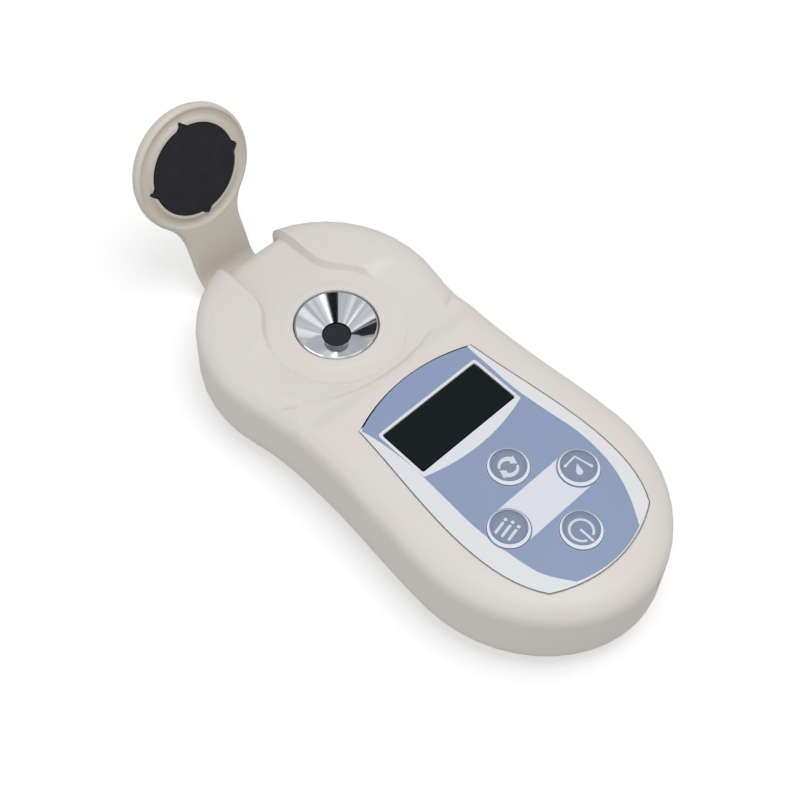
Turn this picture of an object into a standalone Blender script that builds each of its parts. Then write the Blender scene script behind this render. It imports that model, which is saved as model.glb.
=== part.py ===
"""Pocket digital salinity refractometer, modelled at real size.

The instrument is a moulded two-part housing with a waisted outline.  Its round head carries a steel
sample well under a hinged lid, and its body carries a keypad overlay with four keys and a display.
Metres, +Z up.  X runs across, +Y points to the head, and the origin lies on the flat base right under
the axis of the sample well.  The lid stands open, as it does in use before a drop is put on the prism.
"""

import math

import bmesh
import bpy
from mathutils import Matrix, Vector

# Clearances
GAP = 0.0003
OVERRUN = 0.004
SLIDE_GAP = 0.0003

# Housing, outside
HEIGHT = 0.024
HEAD_CENTRE_Y = 0.0042
HEAD_RADIUS = 0.0305
HEAD_DROP = 0.0011
HEAD_DROP_Y = -0.0165
HEAD_DROP_LENGTH = 0.0050
WAIST_HALF_WIDTH = 0.0278
WAIST_Y = -0.0255
BODY_HALF_WIDTH = 0.0299
BODY_WIDEST_Y = -0.0618
BODY_END_Y = -0.0954
DRAFT = 0.0004
TOP_EDGE_WIDTH = 0.0072
TOP_EDGE_HEIGHT = 0.0052
BASE_EDGE = 0.0080
PARTING_Z = 0.0031

# Housing, walls and inner posts
WALL = 0.0022
ROOF = 0.0032
FLOOR = 0.0019
RIM_WIDTH = 0.0026
PILLAR_RADIUS = 0.0030
POST_RADIUS = 0.0018
BOSS_RADIUS = 0.0043
BOSS_TOP_Z = 0.0052
HEAD_SCREW_X = 0.0190
HEAD_SCREW_Y = 0.0060
TAIL_SCREW_X = 0.0160
TAIL_SCREW_Y = -0.0765

# Screws
SCREW_HEAD_RADIUS = 0.0026
SCREW_HEAD_HEIGHT = 0.0016
SCREW_HEAD_DEPTH = 0.0008
SCREW_RADIUS = 0.0011
SCREW_LENGTH = 0.0085

# Lid recess and the groove in front of the head
RECESS_FLOOR_Z = 0.0213
RECESS_SPREAD = 0.0008
RECESS_BACK_Y = 0.0277
RECESS_BACK_FALL = 0.0011
NOSE_ROUND = 0.0045
VALLEY_CENTRE_X = 0.0020
VALLEY_CENTRE_Y = 0.0300
VALLEY_RADIUS = 0.0482
VALLEY_DEPTH = 0.0009
VALLEY_HEAD_WIDTH = 0.0011
VALLEY_BODY_WIDTH = 0.0020

# Hinge
HINGE_Y = 0.0300
HINGE_Z = 0.0090
OPEN_ANGLE = math.radians(105.0)
PIN_RADIUS = 0.00125
PIN_HALF_LENGTH = 0.0114
KNUCKLE_RADIUS = 0.0042
SLOT_SIDE_GAP = 0.0007
HINGE_BLOCK_MARGIN = 0.0042

# Lid
LID_RADIUS = 0.0163
LID_RECESS_GAP = 0.0003
NECK_HALF_WIDTH = 0.0082
NECK_FILLET = 0.0120
NECK_START_Y = 0.0130
LID_FACE_Z = 0.02185
LID_TOP_Z = 0.0257
LID_TOP_FALL = 0.0009
LID_DOME = 0.0005
ARM_GAP = 0.0004
ELBOW_ROUND = 0.0080
ARM_BACK_Y = 0.0352
LID_EDGE = 0.0018
DISH_INNER_RADIUS = 0.0127
DISH_OUTER_RADIUS = 0.0154
DISH_DEPTH = 0.0009

# Lid pad
PAD_RADIUS = 0.0116
PAD_TAB_RADIUS = 0.0130
PAD_TAB_HALF_WIDTH = 0.0013
PAD_THICKNESS = 0.0018
PAD_STAND_OUT = 0.0001

# Sample well and its optics
WELL_RIM_Z = 0.0216
WELL_RADIUS = 0.0099
WELL_LIP = 0.0004
WELL_FLANGE = 0.0019
WELL_NECK_RADIUS = 0.0080
WELL_NECK_BOTTOM_Z = 0.0135
WELL_BORE_RADIUS = 0.0048
COLLAR_RADIUS = 0.0123
COLLAR_BOSS_RADIUS = 0.0128
COLLAR_BOSS_BOTTOM_Z = 0.0170
SEAL_RADIUS = 0.0007
PRISM_RADIUS = 0.0032
PRISM_Z = 0.0177
PRISM_LIP = 0.0017
PRISM_BASE_RADIUS = 0.0045
PRISM_BASE_Z = 0.0115
HOLDER_RADIUS = 0.0086
HOLDER_FLOOR = 0.0026
LIGHT_X = 0.0050
LIGHT_RADIUS = 0.0015
LIGHT_HEIGHT = 0.0020
SENSOR_HALF_X = 0.0012
SENSOR_HALF_Y = 0.0040
SENSOR_HEIGHT = 0.0016
SENSOR_BOARD_HALF_X = 0.0110
SENSOR_BOARD_HALF_Y = 0.0085
SENSOR_BOARD_THICKNESS = 0.0015
THERMISTOR_RADIUS = 0.0013
THERMISTOR_HEIGHT = 0.0030

# Keypad overlay
PANEL_CORNER_X = 0.01733
PANEL_CORNER_Y = -0.0267
PANEL_TOP_Y = -0.0231
PANEL_END_CORNER_X = 0.01569
PANEL_END_CORNER_Y = -0.0822
PANEL_END_Y = -0.0865
PANEL_BOW_HEAD_X = 0.0186
PANEL_BOW_HEAD_Y = -0.0450
PANEL_BOW_TAIL_X = 0.0252
PANEL_BOW_TAIL_Y = -0.0690
PANEL_THICKNESS = 0.0006

# Display
DISPLAY_Y = -0.0374
DISPLAY_HALF_X = 0.0145
DISPLAY_HALF_Y = 0.0065
DISPLAY_CORNER = 0.0005
WINDOW_FLANGE = 0.0015
WINDOW_FLANGE_HEIGHT = 0.0010
WINDOW_SINK = 0.0001
MODULE_MARGIN = 0.0022

# Keys
KEY_RADIUS = 0.0047
KEY_HOLE_GAP = 0.0003
KEY_STAND_OUT = 0.0002
KEY_THICKNESS = 0.0012
KEY_DISH = 0.0002
KEY_RIM = 0.0009
KEY_TRAVEL = 0.00035
KEY_STOP_GAP = 0.00045
KEY_STEM_RADIUS = 0.0016
KEY_SIDE_X = 0.0110
KEY_SIDE_Y = -0.0662
KEY_HEAD_Y = -0.05555
KEY_TAIL_Y = -0.0769

# Main board and switches
BOARD_Z = 0.0136
BOARD_THICKNESS = 0.0016
BOARD_SIDE_GAP = 0.0011
BOARD_HEAD_Y = -0.0200
SWITCH_HALF = 0.0030
SWITCH_BODY_HEIGHT = 0.0034
SWITCH_BUTTON_RADIUS = 0.0017
POST_X = 0.0208
POST_HEAD_Y = -0.0330
POST_TAIL_Y = -0.0600

# Battery compartment
BATTERY_RADIUS = 0.00525
BATTERY_HEAD_Y = -0.0391
BATTERY_LENGTH = 0.0442
BATTERY_NUB_RADIUS = 0.0019
BATTERY_NUB = 0.0010
BATTERY_EDGE = 0.0005
BAY_HALF_X = 0.0057
BAY_WALL = 0.0021
BAY_TOP_Z = 0.0092
CONTACT_THICKNESS = 0.0005
CONTACT_HALF_X = 0.0045
CONTACT_BOTTOM_Z = 0.0034
CONTACT_HEIGHT = 0.0080
SPRING_WIRE_RADIUS = 0.0003
SPRING_SMALL_RADIUS = 0.0022
SPRING_LARGE_RADIUS = 0.0040
SPRING_LENGTH = 0.0034
SPRING_TURNS = 3
DOOR_HALF_X = 0.0082
DOOR_TONGUE = 0.0014
DOOR_THICKNESS = 0.0021
DOOR_LIP = 0.0010
DOOR_HEAD_Y = -0.0353
GRIP_COUNT = 4
GRIP_PITCH = 0.0024
GRIP_RADIUS = 0.0006
GRIP_HALF_X = 0.0050
GRIP_Y = -0.0720

# Strap slot in the tail
STRAP_X = 0.0055
STRAP_Z = 0.0172
STRAP_HALF_WIDTH = 0.0005
STRAP_HALF_HEIGHT = 0.0016
STRAP_DEPTH = 0.0012

# Counts and shares
HEAD_STEPS = 12
FLANK_STEPS = 5
TAIL_STEPS = 12
EDGE_STEPS = 5
HEAD_ARC_END = math.radians(-14.0)
TAIL_POWER = 1.94
EDGE_POWER = 2.3
MIDDLE_SHARE = 0.5
ROUND_SIDES = 48
KEY_SIDES = 28
SMALL_SIDES = 20
ARC_STEPS = 10
LID_DISC_STEPS = 22
NECK_STEPS = 4
NOSE_STEPS = 7
SWITCH_BUTTON_SHARE = 0.3
LID_EDGE_SHARES = ((0.3, 0.06), (0.0, 0.26), (0.0, 0.5), (0.25, 0.78), (0.6, 0.94))

# Working tolerances
WELD = 0.000001
OVERLAP = 0.0001
SMOOTH_ANGLE = math.radians(35.0)

# Places that follow from the sizes above
POCKET_Z = HEIGHT - PANEL_THICKNESS - GAP
LEDGE_Z = POCKET_Z - WINDOW_FLANGE_HEIGHT - GAP
KEY_BOTTOM_Z = HEIGHT + KEY_STAND_OUT - KEY_THICKNESS
BRIDGE_BACK_Y = RECESS_BACK_Y + NOSE_ROUND
ARM_FRONT_Y = BRIDGE_BACK_Y + ARM_GAP
SLOT_TOP_Z = RECESS_FLOOR_Z - RECESS_BACK_FALL - NOSE_ROUND * MIDDLE_SHARE
HEAD_ROOF_Z = HEIGHT - HEAD_DROP - ROOF + GAP
FLANGE_BOTTOM_Z = WELL_RIM_Z - WELL_FLANGE
SEAT_Z = FLANGE_BOTTOM_Z - GAP - SEAL_RADIUS - SEAL_RADIUS - GAP
NOSE_ARC_LENGTH = (NOSE_ROUND + ARM_GAP) * math.radians(90.0)
ARM_DROP = RECESS_FLOOR_Z - RECESS_BACK_FALL - NOSE_ROUND - HINGE_Z
ARM_END_Y = RECESS_BACK_Y + NOSE_ARC_LENGTH + ARM_DROP
BATTERY_Z = DOOR_THICKNESS + GAP + GAP + BATTERY_RADIUS
BAY_HEAD_Y = BATTERY_HEAD_Y + BATTERY_NUB + GAP + CONTACT_THICKNESS + GAP
BAY_TAIL_Y = BATTERY_HEAD_Y - BATTERY_LENGTH - GAP - SPRING_LENGTH - GAP
LINE_BOARD_Z = PRISM_BASE_Z - GAP - HOLDER_FLOOR - GAP - SENSOR_BOARD_THICKNESS

OBJECT_NAME = "digital_salinity_refractometer"


def clear_scene():
    """Remove every object, so that the file starts empty."""
    for item in list(bpy.data.objects):
        bpy.data.objects.remove(item, do_unlink=True)


def new_collection(name):
    """Make a collection in the scene and return it."""
    collection = bpy.data.collections.new(name)
    bpy.context.scene.collection.children.link(collection)
    return collection


clear_scene()
PARTS = new_collection(OBJECT_NAME)
CUTTERS = new_collection("cutters")


def material(name, colour, roughness, metallic=0.0, transmission=0.0):
    """Make a Principled material with one colour, roughness and metallic value."""
    made = bpy.data.materials.new(name)
    made.use_nodes = True
    made.diffuse_color = (*colour, 1.0)
    shader = made.node_tree.nodes["Principled BSDF"]
    shader.inputs["Base Color"].default_value = (*colour, 1.0)
    shader.inputs["Roughness"].default_value = roughness
    shader.inputs["Metallic"].default_value = metallic
    shader.inputs["Transmission Weight"].default_value = transmission
    return made


HOUSING_PLASTIC = material("housing_plastic", (0.69, 0.65, 0.61), 0.42)
LID_PLASTIC = material("lid_plastic", (0.64, 0.59, 0.53), 0.45)
PAD_RUBBER = material("pad_rubber", (0.02, 0.02, 0.024), 0.8)
OVERLAY_FILM = material("overlay_film", (0.25, 0.34, 0.52), 0.4)
KEY_FILM = material("key_film", (0.42, 0.47, 0.58), 0.38)
WINDOW_PLASTIC = material("window_plastic", (0.01, 0.013, 0.013), 0.12)
MODULE_GLASS = material("display_glass", (0.12, 0.14, 0.11), 0.25)
STEEL = material("polished_steel", (0.72, 0.73, 0.75), 0.12, 1.0)
PIN_STEEL = material("pin_steel", (0.6, 0.6, 0.62), 0.3, 1.0)
SEAL_RUBBER = material("seal_rubber", (0.03, 0.03, 0.03), 0.7)
PRISM_GLASS = material("prism_glass", (0.05, 0.055, 0.065), 0.05, 0.0, 0.2)
HOLDER_PLASTIC = material("holder_plastic", (0.03, 0.03, 0.03), 0.6)
LAMP_RESIN = material("lamp_resin", (0.85, 0.80, 0.55), 0.2, 0.0, 0.5)
CHIP_RESIN = material("chip_resin", (0.02, 0.02, 0.02), 0.5)
BOARD_LAMINATE = material("board_laminate", (0.02, 0.16, 0.06), 0.5)
BATTERY_LABEL = material("battery_can", (0.35, 0.36, 0.38), 0.35, 0.6)
CONTACT_METAL = material("contact_metal", (0.70, 0.66, 0.55), 0.3, 1.0)


def mesh_object(name, vertices, faces, collection=CUTTERS):
    """Make a mesh object, weld its coincident points and turn its faces outward."""
    data = bpy.data.meshes.new(name)
    data.from_pydata([tuple(point) for point in vertices], [], faces)
    working = bmesh.new()
    working.from_mesh(data)
    bmesh.ops.remove_doubles(working, verts=working.verts, dist=WELD)
    bmesh.ops.dissolve_degenerate(working, dist=WELD, edges=working.edges)
    bmesh.ops.recalc_face_normals(working, faces=working.faces)
    working.to_mesh(data)
    working.free()
    item = bpy.data.objects.new(name, data)
    collection.objects.link(item)
    return item


def ring_skin(name, rings, closed_tube=False):
    """Join rings of equal point count into a closed skin.

    The first and last rings have shrunk onto a line or a point, so welding closes the skin, unless
    closed_tube joins the last ring to the first.
    """
    count = len(rings[0])
    vertices = [point for ring in rings for point in ring]
    faces = []
    spans = len(rings) if closed_tube else len(rings) - 1
    for row in range(spans):
        below = row * count
        above = ((row + 1) % len(rings)) * count
        for column in range(count):
            following = (column + 1) % count
            faces.append((below + column, below + following, above + following, above + column))
    return mesh_object(name, vertices, faces)


def bmesh_object(name, working, collection=CUTTERS):
    """Turn a bmesh into an object and free it."""
    data = bpy.data.meshes.new(name)
    working.to_mesh(data)
    working.free()
    item = bpy.data.objects.new(name, data)
    collection.objects.link(item)
    return item


def box(name, low, high):
    """Make a box from its low corner to its high corner."""
    low = Vector(low)
    high = Vector(high)
    size = high - low
    working = bmesh.new()
    matrix = Matrix.Translation((low + high) * MIDDLE_SHARE) @ Matrix.Diagonal((*size, 1.0))
    bmesh.ops.create_cube(working, size=1.0, matrix=matrix)
    return bmesh_object(name, working)


def cylinder(name, radius, low, high, place=(0.0, 0.0), sides=SMALL_SIDES):
    """Make an upright cylinder with its centre line at place, from height low to height high."""
    working = bmesh.new()
    matrix = Matrix.Translation((place[0], place[1], (low + high) * MIDDLE_SHARE))
    bmesh.ops.create_cone(working, cap_ends=True, segments=sides, radius1=radius, radius2=radius,
                          depth=high - low, matrix=matrix)
    return bmesh_object(name, working)


def cross_cylinder(name, radius, half_length, centre, sides=SMALL_SIDES):
    """Make a cylinder that lies along X."""
    working = bmesh.new()
    matrix = Matrix.Translation(centre) @ Matrix.Rotation(math.radians(90.0), 4, "Y")
    bmesh.ops.create_cone(working, cap_ends=True, segments=sides, radius1=radius, radius2=radius,
                          depth=half_length + half_length, matrix=matrix)
    return bmesh_object(name, working)


def outline_solid(name, outline, low, high):
    """Fill a flat outline as a 2D curve, give it thickness and turn it into a welded mesh."""
    curve = bpy.data.curves.new(name, "CURVE")
    curve.dimensions = "2D"
    curve.fill_mode = "BOTH"
    curve.extrude = (high - low) * MIDDLE_SHARE
    spline = curve.splines.new("POLY")
    spline.points.add(len(outline) - 1)
    for point, (x, y) in zip(spline.points, outline):
        point.co = (x, y, 0.0, 1.0)
    spline.use_cyclic_u = True
    item = bpy.data.objects.new(name, curve)
    CUTTERS.objects.link(item)
    item.location = (0.0, 0.0, (low + high) * MIDDLE_SHARE)
    return welded_mesh(item)


def welded_mesh(curve_object):
    """Replace a curve object by a mesh object with welded points in the same place."""
    bpy.context.view_layer.update()
    graph = bpy.context.evaluated_depsgraph_get()
    data = bpy.data.meshes.new_from_object(curve_object.evaluated_get(graph))
    working = bmesh.new()
    working.from_mesh(data)
    bmesh.ops.remove_doubles(working, verts=working.verts, dist=WELD)
    bmesh.ops.recalc_face_normals(working, faces=working.faces)
    working.to_mesh(data)
    working.free()
    name = curve_object.name
    matrix = curve_object.matrix_world.copy()
    collection = curve_object.users_collection[0]
    curve_data = curve_object.data
    bpy.data.objects.remove(curve_object, do_unlink=True)
    bpy.data.curves.remove(curve_data)
    data.name = name
    item = bpy.data.objects.new(name, data)
    item.matrix_world = matrix
    collection.objects.link(item)
    return item


def turned(name, profile, place=(0.0, 0.0), sides=ROUND_SIDES):
    """Turn a closed profile of (radius, height) points about an upright axis with a Screw modifier.

    The profile runs down its outer side and up its inner side.
    """
    vertices = [(radius, 0.0, height) for radius, height in profile]
    count = len(vertices)
    edges = [(index, (index + 1) % count) for index in range(count)]
    if profile[0][0] == 0.0 and profile[-1][0] == 0.0:
        edges.pop()
    data = bpy.data.meshes.new(name)
    data.from_pydata(vertices, edges, [])
    item = bpy.data.objects.new(name, data)
    CUTTERS.objects.link(item)
    item.location = (place[0], place[1], 0.0)
    screw = item.modifiers.new("turn", "SCREW")
    screw.steps = sides
    screw.render_steps = sides
    screw.use_merge_vertices = True
    screw.merge_threshold = WELD
    screw.use_normal_calculate = False
    return item


def combine(target, other, operation):
    """Add a Boolean modifier to target, with other as its hidden operand."""
    modifier = target.modifiers.new(other.name, "BOOLEAN")
    modifier.operation = operation
    modifier.solver = "EXACT"
    modifier.object = other
    hide(other)
    return target


def cut(target, *others):
    """Cut the other solids out of the target."""
    for other in others:
        combine(target, other, "DIFFERENCE")
    return target


def join(target, *others):
    """Join the other solids to the target."""
    for other in others:
        combine(target, other, "UNION")
    return target


def keep_inside(target, other):
    """Keep only what of the target lies inside the other solid."""
    return combine(target, other, "INTERSECT")


def hide(item):
    """Show an operand as wires and leave it out of renders."""
    item.hide_render = True
    item.display_type = "WIRE"


def finish(item, finish_material, parent=None):
    """Move an object to the parts collection, give it its material and hang it on its joint."""
    for collection in list(item.users_collection):
        collection.objects.unlink(item)
    PARTS.objects.link(item)
    item.data.materials.clear()
    item.data.materials.append(finish_material)
    item.data.shade_smooth()
    item.data.set_sharp_from_angle(angle=SMOOTH_ANGLE)
    if parent is not None:
        item.parent = parent
    return item


def joint_empty(name, place):
    """Make an empty on a joint's axis, as the parent of what moves there."""
    empty = bpy.data.objects.new(name, None)
    empty.empty_display_size = KEY_RADIUS
    PARTS.objects.link(empty)
    empty.location = place
    return empty


def hang(item, empty):
    """Parent an object that was modelled in place, and its operands, to an empty that isn't turned yet."""
    item.parent = empty
    item.matrix_parent_inverse = Matrix.Translation(empty.location).inverted()
    for modifier in item.modifiers:
        if modifier.type == "BOOLEAN":
            hang(modifier.object, empty)
    return item


def blend(start, end, share):
    """Return the value that lies the given share of the way from start to end."""
    return start + (end - start) * share


def smooth_share(value):
    """Return a share from 0 to 1 that starts and ends level."""
    held = min(max(value, 0.0), 1.0)
    return held * held * (3.0 - held - held)


def flank_points(start, start_slope, end, steps):
    """Return points on a flank whose half-width runs smoothly from start to end.

    The points are (half-width, y) pairs, start_slope is the change of half-width with y at the start,
    and the flank is parallel to the Y axis at its end.
    """
    points = []
    span = end[1] - start[1]
    for step in range(1, steps + 1):
        share = step / steps
        from_start = (1.0 + share + share) * (1.0 - share) ** 2
        from_slope = share * (1.0 - share) ** 2
        half_width = start[0] * from_start + start_slope * span * from_slope + end[0] * (1.0 - from_start)
        points.append((half_width, start[1] + span * share))
    return points


def body_outline(level, inset=0.0):
    """Return the housing's outline as a closed ring of (x, y) points, counterclockwise.

    level is 0 at the top and 1 at the base, where the draft has widened the outline, and inset moves
    every point inward along the outline's normal.
    """
    draft = DRAFT * level
    head_radius = HEAD_RADIUS + draft
    waist = WAIST_HALF_WIDTH + draft
    widest = BODY_HALF_WIDTH + draft
    tail_length = BODY_WIDEST_Y - BODY_END_Y + draft
    right_angle = math.radians(90.0)
    half = []
    for step in range(HEAD_STEPS + 1):
        angle = blend(right_angle, HEAD_ARC_END, step / HEAD_STEPS)
        half.append((head_radius * math.cos(angle), HEAD_CENTRE_Y + head_radius * math.sin(angle)))
    slope = math.tan(-HEAD_ARC_END)
    half += flank_points(half[-1], slope, (waist, WAIST_Y), FLANK_STEPS)
    half += flank_points((waist, WAIST_Y), 0.0, (widest, BODY_WIDEST_Y), FLANK_STEPS + 1)
    for step in range(1, TAIL_STEPS + 1):
        angle = right_angle * step / TAIL_STEPS
        across = max(math.cos(angle), 0.0) ** (2.0 / TAIL_POWER)
        along = math.sin(angle) ** (2.0 / TAIL_POWER)
        half.append((widest * across, BODY_WIDEST_Y - tail_length * along))
    half[0] = (0.0, half[0][1])
    half[-1] = (0.0, half[-1][1])
    left = [(-x, y) for x, y in half]
    ring = left + half[-2:0:-1]
    return inset_ring(ring, inset)


def inset_ring(ring, inset):
    """Move the points of a counterclockwise ring inward along its normals."""
    count = len(ring)
    moved = []
    for index, (x, y) in enumerate(ring):
        before = ring[index - 1]
        after = ring[(index + 1) % count]
        along_x = after[0] - before[0]
        along_y = after[1] - before[1]
        length = math.hypot(along_x, along_y)
        moved.append((x - inset * along_y / length, y + inset * along_x / length))
    return moved


def toward_spine(ring, low_y, high_y, share):
    """Draw a ring toward the stretch of the Y axis from low_y to high_y."""
    drawn = []
    for x, y in ring:
        spine_y = min(max(y, low_y), high_y)
        drawn.append((x * (1.0 - share), blend(y, spine_y, share)))
    return drawn


def lifted(ring, height):
    """Give a ring of (x, y) points its height, a number or a function of x and y."""
    if callable(height):
        return [(x, y, height(x, y)) for x, y in ring]
    return [(x, y, height) for x, y in ring]


def top_height(x, y):
    """Return the height of the housing's top, which steps down a little to the head."""
    share = smooth_share((y - HEAD_DROP_Y) / HEAD_DROP_LENGTH)
    return HEIGHT - HEAD_DROP * share


def base_inset(height):
    """Return how far the rounded base edge draws the side wall in at a height."""
    if height >= BASE_EDGE:
        return 0.0
    return BASE_EDGE - math.sqrt(BASE_EDGE ** 2 - (BASE_EDGE - height) ** 2)


def side_ring(height, inset=0.0):
    """Return the outline of the side wall at a height, moved inward by inset."""
    return lifted(body_outline(1.0 - height / HEIGHT, base_inset(height) + inset), height)


def spine_limits():
    """Return the two ends of the line that the top and bottom faces shrink onto."""
    return BODY_WIDEST_Y, HEAD_CENTRE_Y


def outer_top_rings():
    """Return the rings of the outside from the middle of the top to where the side wall starts."""
    low_y, high_y = spine_limits()
    flat = body_outline(0.0, TOP_EDGE_WIDTH)
    rings = [lifted(toward_spine(flat, low_y, high_y, share), top_height)
             for share in (1.0, MIDDLE_SHARE, 0.0)]
    for step in range(1, EDGE_STEPS + 1):
        angle = math.radians(90.0) * (1.0 - step / EDGE_STEPS)
        inset = TOP_EDGE_WIDTH * (1.0 - max(math.cos(angle), 0.0) ** (2.0 / EDGE_POWER))
        drop = TOP_EDGE_HEIGHT * (1.0 - max(math.sin(angle), 0.0) ** (2.0 / EDGE_POWER))
        ring = body_outline(drop / HEIGHT, inset)
        rings.append([(x, y, top_height(x, y) - drop) for x, y in ring])
    return rings


def base_levels(low, high, steps):
    """Return heights from high to low that follow the round of the base edge evenly."""
    levels = []
    start = math.acos(1.0 - high / BASE_EDGE)
    end = math.acos(1.0 - low / BASE_EDGE)
    for step in range(steps + 1):
        levels.append(BASE_EDGE * (1.0 - math.cos(blend(start, end, step / steps))))
    return levels


def upper_housing():
    """Build the moulded upper housing: a waisted shell with all its recesses, bosses and posts."""
    low_y, high_y = spine_limits()
    bottom = PARTING_Z + GAP * MIDDLE_SHARE
    rings = outer_top_rings()
    rings += [side_ring(level) for level in base_levels(bottom, BASE_EDGE, EDGE_STEPS - 1)]
    rings.append(side_ring(bottom, RIM_WIDTH))
    rings.append(side_ring(BASE_EDGE, WALL))
    shoulder = HEIGHT - TOP_EDGE_HEIGHT - HEAD_DROP
    rings.append(side_ring(shoulder, WALL))
    roof = body_outline(0.0, WALL + TOP_EDGE_WIDTH * MIDDLE_SHARE)
    roof_rings = [lifted(toward_spine(roof, low_y, high_y, share), lambda x, y: top_height(x, y) - ROOF)
                  for share in (0.0, MIDDLE_SHARE, 1.0)]
    shell = ring_skin("upper_housing", rings + roof_rings)
    join(shell, well_boss(), hinge_block(HEAD_ROOF_Z, bottom + GAP))
    for name, (x, y) in screw_places().items():
        roof_z = top_height(x, y) - ROOF + GAP
        join(shell, cylinder("pillar_" + name, PILLAR_RADIUS, BOSS_TOP_Z + GAP, roof_z, (x, y)))
    for name, (x, y) in post_places().items():
        roof_z = top_height(x, y) - ROOF + GAP
        join(shell, cylinder("hold_down_" + name, POST_RADIUS, BOARD_Z + BOARD_THICKNESS + GAP, roof_z,
                             (x, y), SMALL_SIDES - EDGE_STEPS))
    cut(shell, lid_recess(), valley())
    cut(shell, well_seat(), hinge_slot(), knuckle_room(), pin_hole())
    cut(shell, panel_pocket(), window_pocket(), window_opening())
    for name, (x, y) in key_places().items():
        cut(shell, key_well(name, x, y))
    for name, (x, y) in screw_places().items():
        cut(shell, cylinder("thread_" + name, SCREW_RADIUS + GAP, 0.0,
                            SCREW_HEAD_DEPTH + SCREW_LENGTH + GAP, (x, y), SMALL_SIDES - EDGE_STEPS))
    cut(shell, strap_slot())
    return finish(shell, HOUSING_PLASTIC)


def screw_places():
    """Return the places of the four housing screws by name."""
    return {
        "head_left": (-HEAD_SCREW_X, HEAD_SCREW_Y),
        "head_right": (HEAD_SCREW_X, HEAD_SCREW_Y),
        "tail_left": (-TAIL_SCREW_X, TAIL_SCREW_Y),
        "tail_right": (TAIL_SCREW_X, TAIL_SCREW_Y),
    }


def post_places():
    """Return the places of the posts that hold the main board by name."""
    return {
        "front_left": (-POST_X, POST_HEAD_Y),
        "front_right": (POST_X, POST_HEAD_Y),
        "rear_left": (-POST_X, POST_TAIL_Y),
        "rear_right": (POST_X, POST_TAIL_Y),
    }


def key_places():
    """Return the places of the four keys by name."""
    return {
        "key_refresh": (0.0, KEY_HEAD_Y),
        "key_power": (0.0, KEY_TAIL_Y),
        "key_samples": (-KEY_SIDE_X, KEY_SIDE_Y),
        "key_drop": (KEY_SIDE_X, KEY_SIDE_Y),
    }


def well_boss():
    """Build the ring under the head that carries the sample well and rises as a collar round it."""
    inner = WELL_NECK_RADIUS * MIDDLE_SHARE
    profile = [(COLLAR_BOSS_RADIUS, HEAD_ROOF_Z), (COLLAR_BOSS_RADIUS, COLLAR_BOSS_BOTTOM_Z),
               (inner, COLLAR_BOSS_BOTTOM_Z), (inner, HEAD_ROOF_Z)]
    return turned("well_boss", profile)


def hinge_block(top, bottom):
    """Build the solid block at the head's back end that the hinge slot is cut into."""
    half_width = NECK_HALF_WIDTH + SLOT_SIDE_GAP + HINGE_BLOCK_MARGIN
    front = HINGE_Y - KNUCKLE_RADIUS - HINGE_BLOCK_MARGIN
    back = HEAD_CENTRE_Y + HEAD_RADIUS - WALL
    block = outline_solid("hinge_block", [(-half_width, front), (half_width, front), (half_width, back),
                                          (-half_width, back)], bottom, top)
    return keep_inside(block, ring_skin("hinge_block_limit", limit_rings(bottom - OVERLAP, WALL * MIDDLE_SHARE)))


def limit_rings(bottom, inset):
    """Return the rings of the housing's outer form, drawn in by inset, down to a height."""
    low_y, high_y = spine_limits()
    rings = [side_ring(level, inset) for level in (bottom, BASE_EDGE, HEIGHT - TOP_EDGE_HEIGHT)]
    base = body_outline(1.0 - bottom / HEIGHT, base_inset(bottom) + inset)
    start = lifted(toward_spine(base, low_y, high_y, 1.0), bottom)
    roof = body_outline(0.0, inset + TOP_EDGE_WIDTH)
    top = [lifted(toward_spine(roof, low_y, high_y, share), HEIGHT - HEAD_DROP - inset) for share in (0.0, 1.0)]
    return [start] + rings + top


def keyhole_outline(grow, nose_stations):
    """Return the plan of the lid as a counterclockwise ring: a disc, two concave fillets and a neck.

    grow widens the plan by a distance on all sides but the neck's end, which lies at ARM_END_Y, and
    nose_stations are the places along the neck where the plan has points past RECESS_BACK_Y.
    """
    disc = LID_RADIUS + grow
    half_width = NECK_HALF_WIDTH + grow
    fillet = NECK_FILLET - grow
    centre_x = half_width + fillet
    centre_y = math.sqrt((disc + fillet) ** 2 - centre_x ** 2)
    meeting = math.atan2(centre_y, centre_x)
    right = []
    start = math.radians(-90.0)
    for step in range(LID_DISC_STEPS + 1):
        angle = blend(start, meeting, step / LID_DISC_STEPS)
        right.append((disc * math.cos(angle), disc * math.sin(angle)))
    half_turn = math.radians(180.0)
    for step in range(1, ARC_STEPS // 2 + 1):
        angle = blend(meeting + half_turn, half_turn, step / (ARC_STEPS // 2))
        right.append((centre_x + fillet * math.cos(angle), centre_y + fillet * math.sin(angle)))
    for step in range(1, NECK_STEPS + 1):
        right.append((half_width, blend(centre_y, RECESS_BACK_Y, step / NECK_STEPS)))
    right += [(half_width, station) for station in nose_stations]
    right[0] = (0.0, right[0][1])
    left = [(-x, y) for x, y in reversed(right[1:])]
    return right + left


def nose_shares():
    """Return the shares of a quarter turn at which the rounded nose has points."""
    return [step / NOSE_STEPS for step in range(1, NOSE_STEPS + 1)]


def recess_stations():
    """Return the stations along Y over the head's nose, and one past the head's back end."""
    quarter = math.radians(90.0)
    nose = [RECESS_BACK_Y + NOSE_ROUND * math.sin(quarter * share) for share in nose_shares()]
    return nose + [ARM_END_Y]


def arm_stations():
    """Return the stations along the arm's path: over the nose and down to the knuckle."""
    nose = [RECESS_BACK_Y + NOSE_ARC_LENGTH * share for share in nose_shares()]
    return nose + [nose[-1] + ARM_DROP * MIDDLE_SHARE, ARM_END_Y]


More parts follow.
